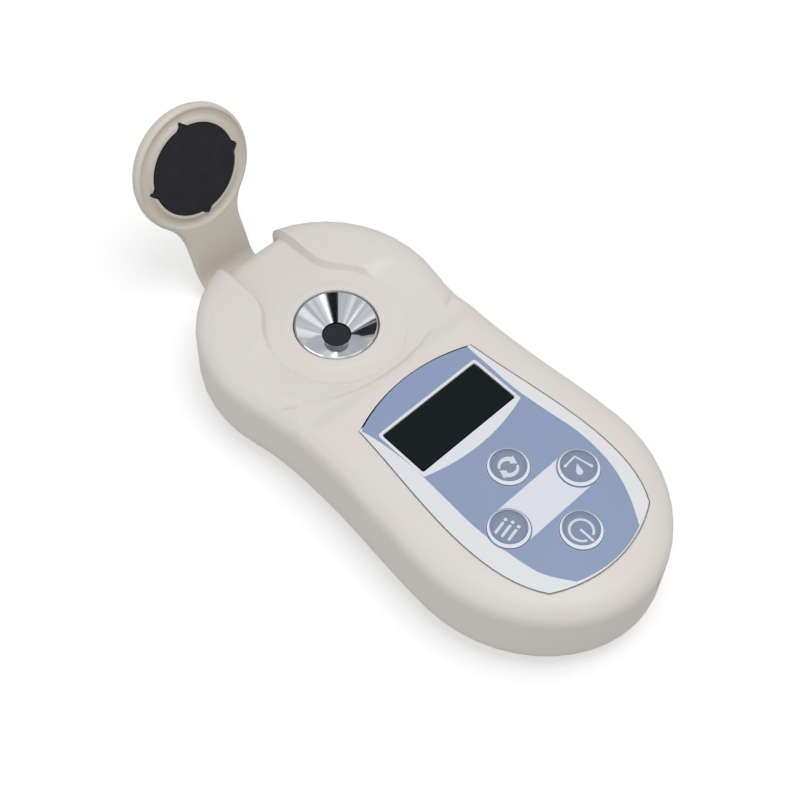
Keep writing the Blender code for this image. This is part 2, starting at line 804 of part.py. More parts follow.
def recess_floor(x, y):
    """Return the height of the recess floor, which falls toward the head's back and rounds over it."""
    share = min(max((y - NECK_START_Y) / (RECESS_BACK_Y - NECK_START_Y), 0.0), 1.0)
    height = RECESS_FLOOR_Z - RECESS_BACK_FALL * share
    past = min(max(y - RECESS_BACK_Y, 0.0), NOSE_ROUND)
    return height - NOSE_ROUND + math.sqrt(max(NOSE_ROUND ** 2 - past ** 2, 0.0))


def lid_recess():
    """Build the cutter of the keyhole recess that the closed lid lies in."""
    low_y = 0.0
    high_y = ARM_END_Y
    foot = keyhole_outline(LID_RECESS_GAP, recess_stations())
    head = keyhole_outline(LID_RECESS_GAP + RECESS_SPREAD, recess_stations())
    top = HEIGHT + OVERRUN
    rings = [lifted(toward_spine(foot, low_y, high_y, share), recess_floor) for share in (1.0, 0.0)]
    step_top = HEIGHT - HEAD_DROP + OVERLAP
    rings.append(lifted(head, step_top))
    rings.append(lifted(head, top))
    rings.append(lifted(toward_spine(head, low_y, high_y, 1.0), top))
    return cut(ring_skin("lid_recess", rings), collar_keeper())


def collar_keeper():
    """Build the ring that the recess cutter leaves standing as the collar round the well."""
    profile = [(0.0, WELL_RIM_Z), (COLLAR_RADIUS, WELL_RIM_Z),
               (COLLAR_RADIUS + WELL_RIM_Z - RECESS_FLOOR_Z, RECESS_FLOOR_Z - ROOF), (0.0, RECESS_FLOOR_Z - ROOF)]
    return turned("collar_keeper", profile)


def valley():
    """Build the turned cutter of the curved groove between the head and the keypad."""
    floor = HEIGHT - HEAD_DROP - VALLEY_DEPTH
    top = HEIGHT + OVERRUN
    profile = [(VALLEY_RADIUS + VALLEY_BODY_WIDTH, top),
               (VALLEY_RADIUS + VALLEY_BODY_WIDTH, HEIGHT + OVERLAP),
               (VALLEY_RADIUS, floor),
               (VALLEY_RADIUS - VALLEY_HEAD_WIDTH, HEIGHT - HEAD_DROP + OVERLAP),
               (VALLEY_RADIUS - VALLEY_HEAD_WIDTH, top)]
    return turned("valley", profile, (VALLEY_CENTRE_X, VALLEY_CENTRE_Y), ROUND_SIDES + ROUND_SIDES)


def well_seat():
    """Build the stepped bore that the sample well drops into."""
    wide = WELL_RADIUS + GAP
    narrow = WELL_NECK_RADIUS + GAP
    profile = [(0.0, HEIGHT + OVERRUN), (wide, HEIGHT + OVERRUN), (wide, SEAT_Z), (narrow, SEAT_Z),
               (narrow, COLLAR_BOSS_BOTTOM_Z - OVERRUN), (0.0, COLLAR_BOSS_BOTTOM_Z - OVERRUN)]
    return turned("well_seat", profile)


def hinge_slot():
    """Build the cutter of the slot that the lid's arm passes through, down the head's back end."""
    half_width = NECK_HALF_WIDTH + SLOT_SIDE_GAP
    back = HEAD_CENTRE_Y + HEAD_RADIUS + OVERRUN
    return box("hinge_slot", (-half_width, BRIDGE_BACK_Y - OVERLAP, 0.0), (half_width, back, SLOT_TOP_Z))


def knuckle_room():
    """Build the cutter of the round room that the lid's knuckle turns in, open at the bottom."""
    half_width = NECK_HALF_WIDTH + SLOT_SIDE_GAP - OVERLAP
    radius = KNUCKLE_RADIUS + ARM_GAP + GAP
    room = cross_cylinder("knuckle_room", radius, half_width, (0.0, HINGE_Y, HINGE_Z), ROUND_SIDES)
    below = box("knuckle_room_mouth", (-half_width, HINGE_Y - radius, 0.0),
                (half_width, BRIDGE_BACK_Y + OVERLAP, HINGE_Z))
    return join(room, below)


def pin_hole():
    """Build the cutter of the cross hole that the hinge pin is pressed into."""
    return cross_cylinder("pin_hole", PIN_RADIUS + GAP, PIN_HALF_LENGTH + GAP, (0.0, HINGE_Y, HINGE_Z))


def panel_outline(grow):
    """Return the outline of the keypad overlay, grown on all sides, as a counterclockwise ring."""
    right = arc_points((0.0, PANEL_END_Y), (PANEL_END_CORNER_X, PANEL_END_CORNER_Y))
    right += side_points()
    right += reversed(arc_points((0.0, PANEL_TOP_Y), (PANEL_CORNER_X, PANEL_CORNER_Y))[:-1])
    left = [(-x, y) for x, y in reversed(right[1:-1])]
    return inset_ring(right + left, -grow)


def arc_points(middle, corner):
    """Return points on the arc that is level at its middle, on the Y axis, and ends at a corner."""
    rise = abs(corner[1] - middle[1])
    radius = (corner[0] ** 2 + rise ** 2) / (rise + rise)
    toward_corner = math.copysign(1.0, corner[1] - middle[1])
    points = []
    for step in range(ARC_STEPS + 1):
        x = corner[0] * step / ARC_STEPS
        points.append((x, middle[1] + toward_corner * (radius - math.sqrt(radius ** 2 - x ** 2))))
    return points


def side_points():
    """Return points on the overlay's bowed side, from after its tail corner to its head corner."""
    handles = [(PANEL_END_CORNER_X, PANEL_END_CORNER_Y), (PANEL_BOW_TAIL_X, PANEL_BOW_TAIL_Y),
               (PANEL_BOW_HEAD_X, PANEL_BOW_HEAD_Y), (PANEL_CORNER_X, PANEL_CORNER_Y)]
    points = []
    for step in range(1, ARC_STEPS + ARC_STEPS + 1):
        share = step / (ARC_STEPS + ARC_STEPS)
        row = handles
        while len(row) > 1:
            row = [(blend(a[0], b[0], share), blend(a[1], b[1], share)) for a, b in zip(row, row[1:])]
        points.append(row[0])
    return points


def panel_pocket():
    """Build the cutter of the shallow pocket that the keypad overlay is glued into."""
    return outline_solid("panel_pocket", panel_outline(GAP), POCKET_Z, HEIGHT + OVERRUN)


def rounded_rectangle(half_x, half_y, centre_y, corner):
    """Return a rectangle's outline with rounded corners as a counterclockwise ring."""
    points = []
    for quarter, (sign_x, sign_y) in enumerate(((1, -1), (1, 1), (-1, 1), (-1, -1))):
        start = math.radians(90.0) * (quarter - 1)
        for step in range(EDGE_STEPS):
            angle = start + math.radians(90.0) * step / (EDGE_STEPS - 1)
            points.append((sign_x * (half_x - corner) + corner * math.cos(angle),
                           centre_y + sign_y * (half_y - corner) + corner * math.sin(angle)))
    return points


def window_pocket():
    """Build the cutter of the ledge that the display window's flange lies on."""
    outline = rounded_rectangle(DISPLAY_HALF_X + WINDOW_FLANGE + GAP, DISPLAY_HALF_Y + WINDOW_FLANGE + GAP,
                                DISPLAY_Y, DISPLAY_CORNER + GAP)
    return outline_solid("window_pocket", outline, LEDGE_Z, HEIGHT)


def window_opening():
    """Build the cutter of the opening over the display module."""
    outline = rounded_rectangle(DISPLAY_HALF_X, DISPLAY_HALF_Y, DISPLAY_Y, DISPLAY_CORNER)
    return outline_solid("window_opening", outline, HEIGHT - ROOF - OVERRUN, HEIGHT)


def key_well(name, x, y):
    """Build the cutter of one key's round well and the stem hole below it."""
    wide = KEY_RADIUS + KEY_HOLE_GAP + GAP
    narrow = KEY_STEM_RADIUS + GAP
    floor = KEY_BOTTOM_Z - KEY_TRAVEL - GAP
    bottom = HEIGHT - ROOF - OVERRUN
    profile = [(0.0, HEIGHT), (wide, HEIGHT), (wide, floor), (narrow, floor), (narrow, bottom), (0.0, bottom)]
    return turned(name + "_well", profile, (x, y), KEY_SIDES)


def strap_slot():
    """Build the cutter of the short upright slot in the tail's end face."""
    end_y = BODY_END_Y
    return box("strap_slot", (STRAP_X - STRAP_HALF_WIDTH, end_y - OVERRUN, STRAP_Z - STRAP_HALF_HEIGHT),
               (STRAP_X + STRAP_HALF_WIDTH, end_y + STRAP_DEPTH, STRAP_Z + STRAP_HALF_HEIGHT))


def lower_housing():
    """Build the lower housing: a shallow tray with screw bosses and the battery compartment."""
    low_y, high_y = spine_limits()
    top = PARTING_Z - GAP * MIDDLE_SHARE
    base = body_outline(1.0, base_inset(0.0))
    rings = [lifted(toward_spine(base, low_y, high_y, share), 0.0) for share in (1.0, 0.0)]
    rings += [side_ring(level) for level in reversed(base_levels(0.0, top, EDGE_STEPS)[:-1])]
    lid = body_outline(1.0, base_inset(top))
    rings.append(lifted(toward_spine(lid, low_y, high_y, 1.0), top))
    tray = ring_skin("lower_housing", rings)
    cut(tray, tray_pocket(top))
    bay_head = BAY_HEAD_Y + BAY_WALL
    bay_tail = BAY_TAIL_Y - BAY_WALL
    bay_side = BAY_HALF_X + BAY_WALL
    join(tray, box("bay_walls", (-bay_side, bay_tail, FLOOR), (bay_side, bay_head, BAY_TOP_Z)))
    for name, (x, y) in screw_places().items():
        join(tray, cylinder("boss_" + name, BOSS_RADIUS, FLOOR * MIDDLE_SHARE, BOSS_TOP_Z, (x, y)))
    for name, (x, y) in post_places().items():
        join(tray, cylinder("post_" + name, POST_RADIUS, FLOOR * MIDDLE_SHARE, BOARD_Z - GAP, (x, y),
                            SMALL_SIDES - EDGE_STEPS))
    for side in (-1, 1):
        join(tray, cylinder("line_post_" + str(side), POST_RADIUS, FLOOR * MIDDLE_SHARE, LINE_BOARD_Z - GAP,
                            (side * (SENSOR_BOARD_HALF_X - POST_RADIUS), 0.0), SMALL_SIDES - EDGE_STEPS))
    bay_floor = DOOR_THICKNESS
    cut(tray, box("bay_room", (-BAY_HALF_X, BAY_TAIL_Y, bay_floor - OVERRUN),
                  (BAY_HALF_X, BAY_HEAD_Y, BAY_TOP_Z + OVERRUN)))
    cut(tray, *door_pocket())
    for name, (x, y) in screw_places().items():
        cut(tray, counterbore(name, x, y))
    return finish(tray, HOUSING_PLASTIC)


def tray_pocket(top):
    """Build the cutter of the tray's inside, which leaves the floor thick round the battery door."""
    outline = body_outline(1.0, base_inset(top) + RIM_WIDTH)
    pocket = outline_solid("tray_pocket", outline, FLOOR, top + OVERRUN)
    side = DOOR_HALF_X + DOOR_TONGUE + BAY_WALL
    keeper = box("door_keeper", (-side, BODY_END_Y, 0.0), (side, DOOR_HEAD_Y + BAY_WALL + GAP, top + OVERRUN * 2))
    hinge_side = NECK_HALF_WIDTH + SLOT_SIDE_GAP + HINGE_BLOCK_MARGIN
    hinge_keeper = box("hinge_keeper", (-hinge_side, HINGE_Y - KNUCKLE_RADIUS - BAY_WALL, 0.0),
                       (hinge_side, HEAD_CENTRE_Y + HEAD_RADIUS, top + OVERRUN * 2))
    return cut(pocket, keeper, hinge_keeper)


def door_solids(name, grow, tail_y):
    """Build the battery door's plate and the wider tongues on it, grown on all sides."""
    low = -OVERRUN if grow > 0.0 else 0.0
    side = DOOR_HALF_X + grow
    tongue = side + DOOR_TONGUE
    head = DOOR_HEAD_Y + grow
    plate = box(name + "_plate", (-side, tail_y, low), (side, head, DOOR_LIP + GAP + OVERLAP))
    wide = box(name + "_tongues", (-tongue, tail_y, DOOR_LIP + GAP - grow), (tongue, head, DOOR_THICKNESS + grow))
    return plate, wide


def door_pocket():
    """Build the cutters of the stepped pocket that the battery door slides in, open at the tail."""
    return door_solids("door_pocket", SLIDE_GAP, BODY_END_Y - OVERRUN)


def battery_door(parent):
    """Build the sliding battery door, whose tail end carries on the round of the base edge."""
    plate, wide = door_solids("battery_door", 0.0, BODY_END_Y - OVERRUN)
    join(plate, wide)
    keep_inside(plate, ring_skin("door_limit", door_limit_rings()))
    for index in range(GRIP_COUNT):
        groove = cross_cylinder("grip_" + str(index), GRIP_RADIUS, GRIP_HALF_X,
                                (0.0, GRIP_Y - GRIP_PITCH * index, -GRIP_RADIUS * MIDDLE_SHARE),
                                SMALL_SIDES - EDGE_STEPS - EDGE_STEPS)
        cut(plate, groove)
    plate.name = "battery_door"
    finish(plate, HOUSING_PLASTIC)
    return hang(plate, parent)


def door_limit_rings():
    """Return the rings of the base's outer form from the floor face up past the parting line."""
    low_y, high_y = spine_limits()
    base = body_outline(1.0, base_inset(0.0))
    start = lifted(toward_spine(base, low_y, high_y, 1.0), 0.0)
    rings = [side_ring(level) for level in reversed(base_levels(0.0, PARTING_Z, EDGE_STEPS + EDGE_STEPS))]
    lid = body_outline(1.0, base_inset(PARTING_Z))
    return [start] + rings + [lifted(toward_spine(lid, low_y, high_y, 1.0), PARTING_Z)]


def counterbore(name, x, y):
    """Build the stepped cutter of a screw's hole through the lower housing."""
    wide = SCREW_HEAD_RADIUS + GAP
    narrow = SCREW_RADIUS + GAP
    step = SCREW_HEAD_DEPTH + SCREW_HEAD_HEIGHT + GAP
    top = BOSS_TOP_Z + OVERRUN
    profile = [(0.0, top), (narrow, top), (narrow, step), (wide, step), (wide, -OVERRUN), (0.0, -OVERRUN)]
    return turned("counterbore_" + name, profile, (x, y), SMALL_SIDES)


def screw(name, x, y):
    """Build one housing screw, head down in its counterbore."""
    head_top = SCREW_HEAD_DEPTH + SCREW_HEAD_HEIGHT
    tip = SCREW_HEAD_DEPTH + SCREW_LENGTH
    profile = [(0.0, tip), (SCREW_RADIUS, tip - SCREW_RADIUS), (SCREW_RADIUS, head_top),
               (SCREW_HEAD_RADIUS, head_top), (SCREW_HEAD_RADIUS, SCREW_HEAD_DEPTH),
               (SCREW_RADIUS, SCREW_HEAD_DEPTH), (SCREW_RADIUS * MIDDLE_SHARE, SCREW_HEAD_DEPTH + SCREW_RADIUS),
               (0.0, SCREW_HEAD_DEPTH + SCREW_RADIUS)]
    return finish(turned("screw_" + name, profile, (x, y), SMALL_SIDES - EDGE_STEPS), PIN_STEEL)


def arm_inner(share):
    """Return the (y, z) place on the arm's inner side, from the neck's start to its end by the pin."""
    length = blend(NECK_START_Y, ARM_END_Y, share)
    if length <= RECESS_BACK_Y:
        along = (length - NECK_START_Y) / (RECESS_BACK_Y - NECK_START_Y)
        end_z = RECESS_FLOOR_Z - RECESS_BACK_FALL + ARM_GAP
        return length, blend(LID_FACE_Z, end_z, smooth_share(along))
    centre_z = RECESS_FLOOR_Z - RECESS_BACK_FALL - NOSE_ROUND
    turned_length = length - RECESS_BACK_Y
    if turned_length <= NOSE_ARC_LENGTH:
        angle = turned_length / (NOSE_ROUND + ARM_GAP)
        return (RECESS_BACK_Y + (NOSE_ROUND + ARM_GAP) * math.sin(angle),
                centre_z + (NOSE_ROUND + ARM_GAP) * math.cos(angle))
    return ARM_FRONT_Y, centre_z - (turned_length - NOSE_ARC_LENGTH)


def arm_outer(share):
    """Return the (y, z) place on the arm's outer side that lies across from the inner one."""
    length = blend(NECK_START_Y, ARM_END_Y, share)
    elbow_y = ARM_BACK_Y - ELBOW_ROUND
    elbow_z = LID_TOP_Z - LID_TOP_FALL - ELBOW_ROUND
    if length <= RECESS_BACK_Y:
        along = (length - NECK_START_Y) / (RECESS_BACK_Y - NECK_START_Y)
        return (blend(NECK_START_Y, elbow_y, along),
                blend(LID_TOP_Z, LID_TOP_Z - LID_TOP_FALL, smooth_share(along)))
    turned_length = length - RECESS_BACK_Y
    if turned_length <= NOSE_ARC_LENGTH:
        angle = turned_length / (NOSE_ROUND + ARM_GAP)
        return elbow_y + ELBOW_ROUND * math.sin(angle), elbow_z + ELBOW_ROUND * math.cos(angle)
    along = (turned_length - NOSE_ARC_LENGTH) / ARM_DROP
    return blend(ARM_BACK_Y, HINGE_Y + KNUCKLE_RADIUS, along), blend(elbow_z, HINGE_Z, along)


def bent(ring, depth_share):
    """Bend a ring of the lid's plan over the arm's path, at a share of the lid's thickness."""
    placed = []
    for x, y in ring:
        if y <= NECK_START_Y:
            placed.append((x, y, blend(LID_FACE_Z, LID_TOP_Z, depth_share)))
            continue
        share = (y - NECK_START_Y) / (ARM_END_Y - NECK_START_Y)
        inner = arm_inner(share)
        outer = arm_outer(share)
        placed.append((x, blend(inner[0], outer[0], depth_share), blend(inner[1], outer[1], depth_share)))
    return placed


def lid_rings():
    """Return the rings of the lid's skin, from the middle of its inner side round to its outer side."""
    plan = keyhole_outline(0.0, arm_stations())
    low_y = 0.0
    high_y = ARM_END_Y - LID_EDGE
    rings = [bent(toward_spine(inset_ring(plan, LID_EDGE), low_y, high_y, share), 0.0) for share in (1.0, 0.0)]
    for inset_share, depth_share in LID_EDGE_SHARES:
        rings.append(bent(inset_ring(plan, LID_EDGE * inset_share), depth_share))
    for share in (MIDDLE_SHARE, 1.0):
        crown = [(x, y) for x, y in toward_spine(inset_ring(plan, LID_EDGE), low_y, high_y, share)]
        rings.append(bent(crown, 1.0))
    return rings


def lid(parent):
    """Build the lid: a dished disc on a neck that bends down over the head to its knuckle."""
    body = ring_skin("lid", lid_rings())
    knuckle = cross_cylinder("knuckle", KNUCKLE_RADIUS, NECK_HALF_WIDTH - OVERLAP, (0.0, HINGE_Y, HINGE_Z),
                             ROUND_SIDES - SMALL_SIDES)
    join(body, knuckle)
    cut(body, dish_groove(), pad_seat())
    cut(body, cross_cylinder("pin_bore", PIN_RADIUS + GAP, NECK_HALF_WIDTH + OVERRUN, (0.0, HINGE_Y, HINGE_Z)))
    finish(body, LID_PLASTIC)
    return hang(body, parent)


def dish_groove():
    """Build the turned cutter of the shallow hollow between the pad's ring and the lid's rim."""
    middle = blend(DISH_INNER_RADIUS, DISH_OUTER_RADIUS, MIDDLE_SHARE)
    half = (DISH_OUTER_RADIUS - DISH_INNER_RADIUS) * MIDDLE_SHARE
    profile = []
    for step in range(EDGE_STEPS + EDGE_STEPS + 1):
        angle = math.radians(180.0) * step / (EDGE_STEPS + EDGE_STEPS)
        profile.append((middle - half * math.cos(angle), LID_FACE_Z + DISH_DEPTH * math.sin(angle)))
    low = LID_FACE_Z - OVERRUN
    profile += [(DISH_OUTER_RADIUS, low), (DISH_INNER_RADIUS, low)]
    return turned("dish_groove", profile)


def pad_outline(grow):
    """Return the pad's outline: a disc with four pointed tabs, a quarter turn apart."""
    radius = PAD_RADIUS + grow
    tip = PAD_TAB_RADIUS + grow
    half_tab = (PAD_TAB_HALF_WIDTH + grow) / radius
    quarter = math.radians(90.0)
    points = []
    for tab in range(4):
        middle = quarter * tab
        points.append((tip * math.cos(middle), tip * math.sin(middle)))
        for step in range(ARC_STEPS + 1):
            angle = blend(middle + half_tab, middle + quarter - half_tab, step / ARC_STEPS)
            points.append((radius * math.cos(angle), radius * math.sin(angle)))
    return points


def pad_seat():
    """Build the cutter of the seat in the lid that holds the pad and its tabs."""
    top = LID_FACE_Z - PAD_STAND_OUT + PAD_THICKNESS + GAP
    return outline_solid("pad_seat", pad_outline(GAP), LID_FACE_Z - OVERRUN, top)


def lid_pad(parent):
    """Build the black pad that covers the sample well when the lid is closed."""
    low = LID_FACE_Z - PAD_STAND_OUT
    pad = outline_solid("lid_pad", pad_outline(0.0), low, low + PAD_THICKNESS)
    finish(pad, PAD_RUBBER)
    return hang(pad, parent)


def hinge_pin():
    """Build the pin that the lid turns on."""
    pin = cross_cylinder("hinge_pin", PIN_RADIUS, PIN_HALF_LENGTH, (0.0, HINGE_Y, HINGE_Z))
    return finish(pin, PIN_STEEL)


def sample_well():
    """Build the polished steel well: a cone down to the prism, a flange and a neck."""
    flange_edge = WELL_RADIUS - WELL_LIP
    hole = PRISM_RADIUS + GAP
    profile = [(flange_edge, WELL_RIM_Z), (WELL_RADIUS, WELL_RIM_Z - WELL_LIP), (WELL_RADIUS, FLANGE_BOTTOM_Z),
               (WELL_NECK_RADIUS, FLANGE_BOTTOM_Z), (WELL_NECK_RADIUS, WELL_NECK_BOTTOM_Z),
               (WELL_BORE_RADIUS, WELL_NECK_BOTTOM_Z), (WELL_BORE_RADIUS, PRISM_Z - PRISM_LIP),
               (hole, PRISM_Z - PRISM_LIP), (hole, PRISM_Z)]
    return finish(turned("sample_well", profile), STEEL)


def well_seal():
    """Build the rubber ring between the well's flange and its seat in the head."""
    centre_z = FLANGE_BOTTOM_Z - GAP - SEAL_RADIUS
    centre_radius = blend(WELL_NECK_RADIUS + GAP, WELL_RADIUS, MIDDLE_SHARE) + OVERLAP
    sides = EDGE_STEPS + EDGE_STEPS - 2
    profile = []
    for step in range(sides):
        angle = -math.radians(360.0) * step / sides
        profile.append((centre_radius + SEAL_RADIUS * math.cos(angle), centre_z + SEAL_RADIUS * math.sin(angle)))
    return finish(turned("well_seal", profile, (0.0, 0.0), ROUND_SIDES - SMALL_SIDES), SEAL_RUBBER)


def prism():
    """Build the measuring prism, whose round face closes the bottom of the well."""
    step_z = PRISM_Z - PRISM_LIP - GAP
    profile = [(0.0, PRISM_Z - GAP * MIDDLE_SHARE), (PRISM_RADIUS, PRISM_Z - GAP * MIDDLE_SHARE),
               (PRISM_RADIUS, step_z), (PRISM_BASE_RADIUS, step_z), (PRISM_BASE_RADIUS, PRISM_BASE_Z),
               (0.0, PRISM_BASE_Z)]
    return finish(turned("prism", profile, (0.0, 0.0), ROUND_SIDES - SMALL_SIDES), PRISM_GLASS)


def prism_holder():
    """Build the black holder under the prism, with its two windows for the light and the sensor."""
    top = WELL_NECK_BOTTOM_Z - GAP
    bottom = LINE_BOARD_Z + SENSOR_BOARD_THICKNESS + GAP
    seat = PRISM_BASE_Z - GAP
    bore = PRISM_BASE_RADIUS + GAP
    profile = [(0.0, seat), (bore, seat), (bore, top), (HOLDER_RADIUS, top), (HOLDER_RADIUS, bottom), (0.0, bottom)]
    holder = turned("prism_holder", profile, (0.0, 0.0), ROUND_SIDES - SMALL_SIDES)
    cut(holder, cylinder("light_window", LIGHT_RADIUS + GAP, bottom - OVERRUN, seat + OVERLAP, (-LIGHT_X + LIGHT_RADIUS, 0.0)))
    sensor_x = LIGHT_X - LIGHT_RADIUS
    cut(holder, box("sensor_window", (sensor_x - SENSOR_HALF_X - GAP, -SENSOR_HALF_Y - GAP, bottom - OVERRUN),
                    (sensor_x + SENSOR_HALF_X + GAP, SENSOR_HALF_Y + GAP, seat + OVERLAP)))
    return finish(holder, HOLDER_PLASTIC)


def light_source():
    """Build the lamp under the prism: a short cylinder with a domed top."""
    base = LINE_BOARD_Z + SENSOR_BOARD_THICKNESS + GAP
    dome_z = base + LIGHT_HEIGHT - LIGHT_RADIUS
    profile = []
    for step in range(EDGE_STEPS + 1):
        angle = math.radians(90.0) * (1.0 - step / EDGE_STEPS)
        profile.append((LIGHT_RADIUS * max(math.cos(angle), 0.0), dome_z + LIGHT_RADIUS * math.sin(angle)))
    profile[0] = (0.0, profile[0][1])
    profile += [(LIGHT_RADIUS, base), (0.0, base)]
    return finish(turned("light_source", profile, (-LIGHT_X + LIGHT_RADIUS, 0.0), SMALL_SIDES), LAMP_RESIN)


def line_sensor():
    """Build the line sensor beside the lamp."""
    base = LINE_BOARD_Z + SENSOR_BOARD_THICKNESS + GAP
    centre = LIGHT_X - LIGHT_RADIUS
    chip = box("line_sensor", (centre - SENSOR_HALF_X, -SENSOR_HALF_Y, base),
               (centre + SENSOR_HALF_X, SENSOR_HALF_Y, base + SENSOR_HEIGHT))
    return finish(chip, CHIP_RESIN)


def sensor_board():
    """Build the small board that carries the lamp and the line sensor."""
    board = box("sensor_board", (-SENSOR_BOARD_HALF_X, -SENSOR_BOARD_HALF_Y, LINE_BOARD_Z),
                (SENSOR_BOARD_HALF_X, SENSOR_BOARD_HALF_Y, LINE_BOARD_Z + SENSOR_BOARD_THICKNESS))
    return finish(board, BOARD_LAMINATE)


def temperature_sensor():
    """Build the temperature sensor that leans on the well's neck."""
    distance = WELL_NECK_RADIUS + GAP + THERMISTOR_RADIUS
    bottom = WELL_NECK_BOTTOM_Z
    probe = cylinder("temperature_sensor", THERMISTOR_RADIUS, bottom, bottom + THERMISTOR_HEIGHT, (0.0, -distance))
    return finish(probe, CHIP_RESIN)


def keypad_overlay():
    """Build the thin overlay sheet with its four key holes and the display opening."""
    sheet = outline_solid("keypad_overlay", panel_outline(0.0), HEIGHT - PANEL_THICKNESS, HEIGHT)
    opening = rounded_rectangle(DISPLAY_HALF_X, DISPLAY_HALF_Y, DISPLAY_Y, DISPLAY_CORNER)
    low = HEIGHT - PANEL_THICKNESS - OVERRUN
    high = HEIGHT + OVERRUN
    cut(sheet, outline_solid("display_opening", opening, low, high))
    for name, (x, y) in key_places().items():
        hole = cylinder(name + "_hole", KEY_RADIUS + KEY_HOLE_GAP, low, high, (x, y), KEY_SIDES)
        cut(sheet, hole)
    return finish(sheet, OVERLAY_FILM)


def key(name, x, y):
    """Build one round key, slightly dished, with the stem that presses its switch."""
    top = HEIGHT + KEY_STAND_OUT
    inner = KEY_RADIUS - KEY_RIM
    stem_bottom = BOARD_Z + BOARD_THICKNESS + GAP + SWITCH_BODY_HEIGHT + switch_button_height() + KEY_STOP_GAP
    profile = [(0.0, top - KEY_DISH), (inner - KEY_DISH, top - KEY_DISH), (inner, top),
               (KEY_RADIUS - KEY_DISH, top), (KEY_RADIUS, top - KEY_DISH), (KEY_RADIUS, KEY_BOTTOM_Z),
               (KEY_STEM_RADIUS, KEY_BOTTOM_Z), (KEY_STEM_RADIUS, stem_bottom), (0.0, stem_bottom)]
    empty = joint_empty(name + "_slide", (x, y, 0.0))
    cap = turned(name, profile, (0.0, 0.0), KEY_SIDES)
    return finish(cap, KEY_FILM, empty)


def switch_button_height():
    """Return the height of a switch's button, a share of the switch's body."""
    return SWITCH_BODY_HEIGHT * SWITCH_BUTTON_SHARE


def switch(name, x, y):
    """Build one tactile switch: a square body with a round button."""
    low = BOARD_Z + BOARD_THICKNESS + GAP
    top = low + SWITCH_BODY_HEIGHT
    body = box(name, (x - SWITCH_HALF, y - SWITCH_HALF, low), (x + SWITCH_HALF, y + SWITCH_HALF, top))
    join(body, cylinder(name + "_button", SWITCH_BUTTON_RADIUS, top - OVERLAP, top + switch_button_height(), (x, y),
                        SMALL_SIDES))
    return finish(body, CHIP_RESIN)


def display_window():
    """Build the stepped window: a flange under the overlay and a raised face in its opening."""
    flange = rounded_rectangle(DISPLAY_HALF_X + WINDOW_FLANGE, DISPLAY_HALF_Y + WINDOW_FLANGE, DISPLAY_Y,
                               DISPLAY_CORNER)
    face = rounded_rectangle(DISPLAY_HALF_X - GAP, DISPLAY_HALF_Y - GAP, DISPLAY_Y, DISPLAY_CORNER)
    top = LEDGE_Z + GAP + WINDOW_FLANGE_HEIGHT
    plate = outline_solid("display_window", flange, LEDGE_Z + GAP, top)
    join(plate, outline_solid("window_face", face, top - OVERLAP, HEIGHT - WINDOW_SINK))
    return finish(plate, WINDOW_PLASTIC)


def display_module():
    """Build the display module on the main board, right under the window."""
    half_x = DISPLAY_HALF_X + MODULE_MARGIN
    half_y = DISPLAY_HALF_Y + MODULE_MARGIN
    module = box("display_module", (-half_x, DISPLAY_Y - half_y, BOARD_Z + BOARD_THICKNESS + GAP),
                 (half_x, DISPLAY_Y + half_y, HEIGHT - ROOF - GAP))
    return finish(module, MODULE_GLASS)


def main_board():
    """Build the main board, which follows the housing's inside and clears the screw pillars."""
    level = 1.0 - BOARD_Z / HEIGHT
    ring = body_outline(level, WALL + BOARD_SIDE_GAP)
    outline = [point for point in ring if point[1] < BOARD_HEAD_Y]
    board = outline_solid("main_board", outline, BOARD_Z, BOARD_Z + BOARD_THICKNESS)
    for name, (x, y) in screw_places().items():
        if y < BOARD_HEAD_Y:
            hole = cylinder("board_hole_" + name, PILLAR_RADIUS + GAP, BOARD_Z - OVERRUN,
                            BOARD_Z + BOARD_THICKNESS + OVERRUN, (x, y))
            cut(board, hole)
    return finish(board, BOARD_LAMINATE)


def battery():
    """Build the battery: a can with a nub, lying along Y in its compartment."""
    shoulder = BATTERY_RADIUS - BATTERY_EDGE
    profile = [(0.0, BATTERY_NUB), (BATTERY_NUB_RADIUS, BATTERY_NUB), (BATTERY_NUB_RADIUS, 0.0), (shoulder, 0.0),
               (BATTERY_RADIUS, -BATTERY_EDGE), (BATTERY_RADIUS, BATTERY_EDGE - BATTERY_LENGTH),
               (shoulder, -BATTERY_LENGTH), (0.0, -BATTERY_LENGTH)]
    cell = turned("battery", profile, (0.0, 0.0), SMALL_SIDES + SMALL_SIDES // 2)
    cell.rotation_euler = (math.radians(-90.0), 0.0, 0.0)
    cell.location = (0.0, BATTERY_HEAD_Y, BATTERY_Z)
    return finish(cell, BATTERY_LABEL)


def battery_plate():
    """Build the contact plate at the battery's nub."""
    front = BAY_HEAD_Y - GAP - CONTACT_THICKNESS
    plate = box("battery_plate", (-CONTACT_HALF_X, front, CONTACT_BOTTOM_Z),
                (CONTACT_HALF_X, front + CONTACT_THICKNESS, CONTACT_BOTTOM_Z + CONTACT_HEIGHT))
    return finish(plate, CONTACT_METAL)


